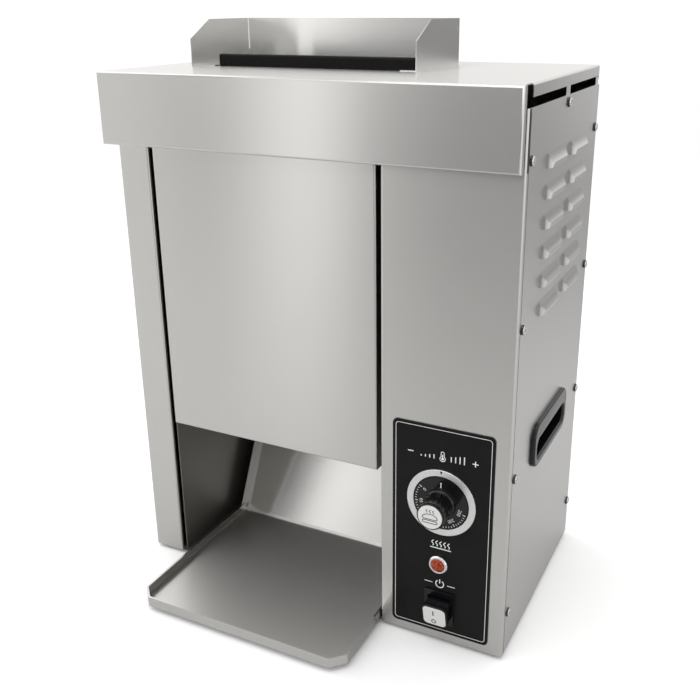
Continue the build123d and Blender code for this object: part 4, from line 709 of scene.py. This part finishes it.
def islands(mesh, reach):
    """Boxes of the separate solids of a mesh whose points lie within reach of a solid's first point."""
    points = np.empty(len(mesh.vertices) * 3)
    mesh.vertices.foreach_get("co", points)
    points = points.reshape(-1, 3)
    boxes = []
    while len(points):
        near = np.linalg.norm(points - points[0], axis=1) < reach
        boxes.append((points[near].min(axis=0), points[near].max(axis=0)))
        points = points[~near]
    return boxes


def mesh_from(name, points, faces, smooth=True, **values):
    """A mesh of points in metres and faces as lists of indices, with doubles merged; each further
    argument is a value for every point, kept as an attribute."""
    mesh = bpy.data.meshes.new(name)
    mesh.from_pydata(np.asarray(points, float).tolist(), [], [list(face) for face in faces])
    for key, value in values.items():
        mesh.attributes.new(key, "FLOAT", "POINT").data.foreach_set("value", np.asarray(value, np.float32))
    work = bmesh.new()
    work.from_mesh(mesh)
    bmesh.ops.remove_doubles(work, verts=work.verts, dist=1e-6)
    bmesh.ops.recalc_face_normals(work, faces=work.faces)
    for face in work.faces:
        face.smooth = smooth
    for edge in work.edges:
        edge.smooth = edge.is_manifold and edge.calc_face_angle(pi) < SMOOTH_BELOW
    work.to_mesh(mesh)
    work.free()
    return mesh


print(len(islands(NODES["panel_screws"].data, SCREW_REACH * MM)), "screws in the frame")

# %% Every panel screw


def panel_screws():
    """Every screw: a domed head with its recess, closed by the outline of its shank."""
    random = np.random.default_rng(7)
    points, faces, shade_shares, count = [], [], [], 0
    boxes = islands(NODES["panel_screws"].data, SCREW_REACH * MM)
    rise, shaft = HEAD_RISE * MM, SHANK_RADIUS * MM
    angle = np.linspace(0, 2 * pi, SCREW_SPOKES, endpoint=False)
    for low, high in boxes:
        middle, size = (low + high) / 2, high - low
        side = 1 if middle[0] > 0 else -1
        radius, tip, top = size[1] / 2, (low if side > 0 else high)[0], (high if side > 0 else low)[0]
        head, depth = screw_head(radius, rise, random.uniform(0, pi / 2))
        end = side * (tip - top) + rise
        shank = [(0.0, shaft), (end, shaft), (end, 0.0)]
        rings = [head] + [np.stack([np.full_like(angle, x), r * np.cos(angle), r * np.sin(angle)], -1)[None]
                          for x, r in shank]
        shell = np.concatenate(rings).reshape(-1, 3)
        shell[:, 0] = top + side * (shell[:, 0] - rise)
        shell[:, 1:] += middle[1:]
        points.append(shell)
        shade_shares.append(np.concatenate([depth.reshape(-1), np.zeros(len(shell) - depth.size)]))
        faces.append(ring_faces(SCREW_RINGS + len(shank), SCREW_SPOKES) + count)
        count += len(shell)
    # the attribute recess is each point's share of painted shade
    mesh = mesh_from("panel_screws_detailed", np.concatenate(points), np.concatenate(faces),
                     recess=np.concatenate(shade_shares))
    piece = link_piece("panel_screws_detailed", mesh, "cabinet", MATERIALS["screw_steel"])
    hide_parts("panel_screws")
    return len(boxes)


print(panel_screws(), "screws made")

# %% [markdown]
# ## Painted shade beside the side panels
#
# A side panel stops short of the sheet in front of it, and the gap between them lies in shade. It
# could be a dark line in the finish, but a line of paint has no thickness where the edge is seen along
# the panel. So the shade is painted on a black bead: a flat half round carried up along the gap. Behind
# the lid's fascia a wider strip of it stands for the shade over the edge of the sheet.

# %% Painted shade in the gaps
PANEL_SETBACK = 6.5  # millimetres, from the face of the front sheet to the panel's front edge
BEAD_SINK, BEAD_RISE = 0.05, 0.15  # millimetres: how deep its edges sit, and its crown above them
BEAD_POINTS = 9


def box_of(node):
    """Lowest and highest corner of a node, in metres."""
    corners = np.array([corner[:] for corner in NODES[node].bound_box])
    return corners.min(axis=0), corners.max(axis=0)


FASCIA_BOTTOM = box_of("top_cover")[0][2]  # the fascia hangs lower than the rest of the lid


def shadow_bead(side, face_y):
    """Black beads of painted shade, in the gap in front of a side panel and behind the fascia: each a flat
    half round carried upwards: y = middle + half width cos t, x = side (edge - sink + rise sin t)."""
    low, high = box_of("right_side_panel" if side > 0 else "left_side_panel")
    edge = min((high if side > 0 else -low)[0], box_of("front_column")[1][0])
    panel_y = face_y + PANEL_SETBACK * MM
    t = np.linspace(0, pi, BEAD_POINTS)
    points, faces, count = [], [], 0
    strips = ((panel_y - 0.9 * MM, panel_y + 0.1 * MM, low[2] + 1 * MM, high[2] - 4 * MM),
              (face_y + 1.5 * MM, panel_y - 0.3 * MM, FASCIA_BOTTOM, high[2] - 0.5 * MM))
    for start, end, bottom, top in strips:
        y = (start + end) / 2 + (end - start) / 2 * np.cos(t)
        x = side * (edge - BEAD_SINK * MM + BEAD_RISE * MM * np.sin(t))
        ring = np.stack([x, y], axis=1)
        points += [np.column_stack([ring, np.full(len(t), z)]) for z in (bottom, top)]
        here = np.arange(len(t))
        beside = (here + 1) % len(t)
        faces += (np.stack([here, beside, beside + len(t), here + len(t)], axis=1) + count).tolist()
        faces += [(here + count).tolist(), (here + len(t) + count).tolist()]
        count += 2 * len(t)
    name = f"seam_{'right' if side > 0 else 'left'}"
    mesh = mesh_from(name, np.concatenate(points), faces)
    # the bead is black rubber finish, painted shade of the gap
    return link_piece(name, mesh, "cabinet", MATERIALS["foot_rubber"])


for side, node in ((1, "front_column"), (-1, "left_post")):
    print(shadow_bead(side, box_of(node)[0][1]).name)

# %% [markdown]
# ## Printed marks
#
# Print is a film of ink a few hundredths of a millimetre thick. An image on the plate would blur
# when looked at closely, and thin solids stay sharp. So each mark is drawn flat, as bands along a
# path or as filled outlines, then lifted to a thin slab and laid on its surface. The marks are
# plain pictograms that any such appliance could carry: a thermometer between less and more, warm
# air, on and off, a bun on the knob and figures round the dial.

# %% Drawing flat


def band(path, width, closed=False):
    """A band along a path: each point goes half the width to both sides, along the mean of the two
    normals that meet there divided by the cosine of half the turn."""
    path = np.asarray(path, float)
    ahead, behind = np.roll(path, -1, axis=0) - path, path - np.roll(path, 1, axis=0)
    if not closed:
        ahead[-1], behind[0] = behind[-1], ahead[0]
    unit = [step / np.linalg.norm(step, axis=1)[:, None] for step in (ahead, behind)]
    mean = unit[0] + unit[1]
    mean /= np.linalg.norm(mean, axis=1)[:, None]
    half = width / 2 / np.sum(mean * unit[0], axis=1)
    normal = np.stack([-mean[:, 1], mean[:, 0]], axis=1) * half[:, None]
    points = np.concatenate([path + normal, path - normal])
    count = len(path)
    start = np.arange(count if closed else count - 1)
    end = (start + 1) % count
    return points, np.stack([start, start + count, end + count, end], axis=1).tolist()


def filled(outline):
    """One face inside an outline, its points anticlockwise."""
    return np.asarray(outline, float), [list(range(len(outline)))]


def arc(centre, radius, start, end, count):
    """Points on a circle or, with two radii, an ellipse, between two angles in degrees."""
    angle = np.radians(np.linspace(start, end, count))
    return np.array(centre) + np.stack([np.cos(angle), np.sin(angle)], axis=1) * radius


def rounded_box(width, height, corner, centre=(0, 0)):
    """Anticlockwise outline of a rectangle with round corners: a quarter circle at each."""
    a, b = width / 2 - corner, height / 2 - corner
    corners = ((a, b, 0), (-a, b, 90), (-a, -b, 180), (a, -b, 270))
    return np.concatenate([arc((x, y), corner, turn, turn + 90, 8) for x, y, turn in corners]) + centre


def bar(centre, width, height):
    """A filled rectangle."""
    x, y = centre
    a, b = width / 2, height / 2
    return filled([(x - a, y - b), (x + a, y - b), (x + a, y + b), (x - a, y + b)])


def wave(x, bottom, top, swing, width):
    """An upright wavy line: a little over one sine wave to both sides of x."""
    t = np.linspace(0, 1, 28)
    return band(np.stack([x + swing * np.sin(2.4 * pi * t), bottom + (top - bottom) * t], axis=1), width)


print("flat shapes:", band.__name__, filled.__name__, arc.__name__, rounded_box.__name__, wave.__name__)

# %% Laying ink on a surface
INK, INK_SINK = 0.05, 0.02  # millimetres that a mark stands above its surface, and reaches below it


def print_on(name, marks, place, body, ink="white_ink", up=(0, 0, 1)):
    """Lays flat marks, in millimetres, on the plane at a place whose right is +X and whose up is given.
    A slab is the front points, the back points and a wall along each edge that only one face has."""
    right, up = np.array((1.0, 0, 0)), np.array(up, float)
    out = np.cross(right, up)
    points, faces, count = [], [], 0
    for flat, flat_faces in marks:
        laid = np.array(place) + (flat[:, :1] * right + flat[:, 1:] * up) * MM
        points += [laid + out * INK * MM, laid - out * INK_SINK * MM]
        size = len(flat)
        edges = [(f[k], f[(k + 1) % len(f)]) for f in flat_faces for k in range(len(f))]
        known = set(edges)
        rim = [e for e in edges if (e[1], e[0]) not in known]
        faces += [[v + count for v in f] for f in flat_faces]
        faces += [[v + count + size for v in reversed(f)] for f in flat_faces]
        faces += [[b + count, a + count, a + count + size, b + count + size] for a, b in rim]
        count += 2 * size
    mesh = mesh_from(name, np.concatenate(points), faces, smooth=False)
    return link_piece(name, mesh, body, MATERIALS[ink])


def figure_marks(text, height, centre, turn):
    """The figures of a number as flat faces, their middle at a centre and turned by an angle."""
    curve = bpy.data.curves.new("figures", "FONT")
    curve.body, curve.size = text, height / 0.7
    curve.resolution_u = 3
    holder = bpy.data.objects.new("figures", curve)
    mesh = bpy.data.meshes.new_from_object(holder)
    flat = np.array([v.co[:2] for v in mesh.vertices])
    flat -= (flat.min(axis=0) + flat.max(axis=0)) / 2
    faces = [list(p.vertices) for p in mesh.polygons]
    for data, group in ((holder, bpy.data.objects), (curve, bpy.data.curves), (mesh, bpy.data.meshes)):
        group.remove(data)
    rotation = np.array([[cos(turn), sin(turn)], [-sin(turn), cos(turn)]])
    return flat @ rotation + centre, faces


print("ink stands", INK, "mm above its surface")

# %% Print on the control plate
PLATE_LOW, PLATE_HIGH = box_of("control_plate")
PLATE_MIDDLE = (PLATE_LOW + PLATE_HIGH) / 2
PLATE_SIZE = (PLATE_HIGH - PLATE_LOW) / MM
BORDER_INSET, BORDER_LINE = 3.2, 0.5
STROKE = 1.0
THERMOMETER_Z, WARM_AIR_Z, POWER_Z = 204.0, 110.4, 67.8  # heights in millimetres


def plate_place(z):
    """A place on the plate's face, above the middle of its width."""
    return (PLATE_MIDDLE[0], PLATE_LOW[1], z * MM)


def thermometer():
    """Tube and bulb as one outline, with the liquid inside: less on its left and more on its right."""
    tube, bulb, base, top = 1.5, 2.6, -2.2, 3.4
    lean = degrees(np.arcsin(tube / bulb))
    ball, end = arc((0, base), bulb, 90 + lean, 450 - lean, 28), arc((0, top), tube, 0, 180, 12)
    liquid = np.concatenate([arc((0, base), 1.35, 110, 430, 20), [(0.45, 2.2), (-0.45, 2.2)]])
    marks = [band(np.concatenate([ball, end]), 0.7, closed=True), filled(liquid)]
    for step in range(4):
        height = 1.6 + 0.9 * step
        marks.append(bar((-21 + 4.2 * step, (height - 7) / 2), STROKE, height))
        marks.append(bar((8.4 + 4.2 * step, (height - 3.4) / 2), STROKE, height + 3.6))
    minus = bar((-31.5, -0.4), 5.6, STROKE)
    a, b = STROKE / 2, 2.8
    plus = [(a, a), (a, b), (-a, b), (-a, a), (-b, a), (-b, -a)]
    plus += [(-x, -y) for x, y in plus]
    return marks + [minus, filled(np.array(plus) + (31.5, -0.4))]


def warm_air():
    """Wavy lines rising from a plate."""
    return [wave(x, -1.8, 4.4, 0.9, 0.9) for x in (-8, -4, 0, 4, 8)] + [bar((0, -3.7), 21, STROKE)]


def power_sign():
    """A ring that is open at the top round an upright line, with a short rule on each side."""
    ring = band(arc((0, -0.3), 4.0, 124, 416, 40), STROKE)
    return [ring, bar((0, 2.6), STROKE, 4.6)] + [bar((side * 11.5, -0.3), 8.0, 0.7) for side in (-1, 1)]


border = band(rounded_box(*(PLATE_SIZE[[0, 2]] - 2 * BORDER_INSET), 3.0), BORDER_LINE, closed=True)
print_on("plate_border", [border], plate_place(PLATE_MIDDLE[2] / MM), "cabinet")
print_on("temperature_mark", thermometer(), plate_place(THERMOMETER_Z), "cabinet")
print_on("warm_air_mark", warm_air(), plate_place(WARM_AIR_Z), "cabinet")
print_on("power_mark", power_sign(), plate_place(POWER_Z), "cabinet")
print("plate printed")

# %% Print on the knob and its ring
RING_Y = box_of("knob_bezel")[0][1]
CAP_LOW, CAP_HIGH = box_of("knob_cap")
KNOB_AXIS = (CAP_LOW + CAP_HIGH) / 2
DIAL_Y = PLATE_LOW[1] - 2.5 * MM  # the dial's face, ahead of the plate
FIRST_ANGLE, LAST_ANGLE = 146.0, 343.0  # degrees from +X
TOP_FIGURE, FIGURE_STEP, SPACES = 250, 50, 6  # with so many spaces between two figures
DIAL_RADIUS, FIGURE_RADIUS, FIGURE_HEIGHT = 25.5, 19.3, 3.3
LONG_TICK, SHORT_TICK = (22.8, 0.8), (23.9, 0.6)  # inner radius and half the width in degrees


def on_knob_axis(y):
    """A place on the knob's axis."""
    return (KNOB_AXIS[0], y, KNOB_AXIS[2])


def dial_marks():
    """Figures from 0 to 250 round the rim, a long tick at each and short ones between."""
    count = TOP_FIGURE // FIGURE_STEP * SPACES
    pointer = bar((0, 18.6), 1.0, 5.4)
    marks = [pointer]
    for step in range(count + 1):
        angle = FIRST_ANGLE + (LAST_ANGLE - FIRST_ANGLE) * step / count
        inner, half = LONG_TICK if step % SPACES == 0 else SHORT_TICK
        outside = arc((0, 0), DIAL_RADIUS, angle - half, angle + half, 3)
        inside = arc((0, 0), inner, angle + half, angle - half, 3)
        marks.append(filled(np.concatenate([outside, inside])))
        if step % SPACES == 0:
            turn = radians(angle)
            place = FIGURE_RADIUS * np.array((cos(turn), sin(turn)))
            figure = str(FIGURE_STEP * step // SPACES)
            marks.append(figure_marks(figure, FIGURE_HEIGHT, place, turn - pi / 2))
    return marks


def bun_sign():
    """A bun: domed top and flat base, with warm air over it."""
    top = np.concatenate([arc((0, -1.4), (7.4, 4.6), 8, 172, 28), [(-6.2, -2.0), (6.2, -2.0)]])
    base = rounded_box(14.2, 2.6, 1.2, (0, -4.6))
    air = [wave(x, 4.4, 7.6, 0.6, 0.6) for x in (-3.2, 0, 3.2)]
    return [band(top, 0.7, closed=True), band(base, 0.7, closed=True)] + air


dial_body, cap_body = BODY_OF["control_knob"], BODY_OF["knob_cap"]
print_on("dial_marks", dial_marks(), on_knob_axis(DIAL_Y), dial_body)
print_on("cap_mark", bun_sign(), on_knob_axis(CAP_LOW[1]), cap_body, "black_ink")
index = filled([(-1.3, 33.0), (0, 29.2), (1.3, 33.0)])
print_on("ring_index", [index], on_knob_axis(RING_Y), "cabinet", "black_ink")
print("dial printed; it rides on", dial_body)

# %% Print on the rocker
ROCKER_TILT = radians(12)
ROCKER_UP = (0.0, -sin(ROCKER_TILT), cos(ROCKER_TILT))
ROCKER_OUT = np.array((0.0, -cos(ROCKER_TILT), -sin(ROCKER_TILT)))
ROCKER_PIVOT = np.array((PLATE_MIDDLE[0], -0.084, 0.042))
PIVOT_TO_FACE = 16.2  # millimetres
ROCKER_PLACE = ROCKER_PIVOT + ROCKER_OUT * PIVOT_TO_FACE * MM
on_sign = bar((-0.85, 4.3), 1.2, 5.8)
off_sign = band(arc((-0.8, -6.2), (1.95, 2.2), 0, 350, 36), 0.9, closed=True)
rocker_body = BODY_OF["rocker_face"]
print_on("rocker_marks", [on_sign, off_sign], ROCKER_PLACE, rocker_body, "black_ink",
         up=ROCKER_UP)
print("rocker printed; its marks ride on", rocker_body)

# %% [markdown]
# ## Size
#
# What is added must not grow past the box of the solids.
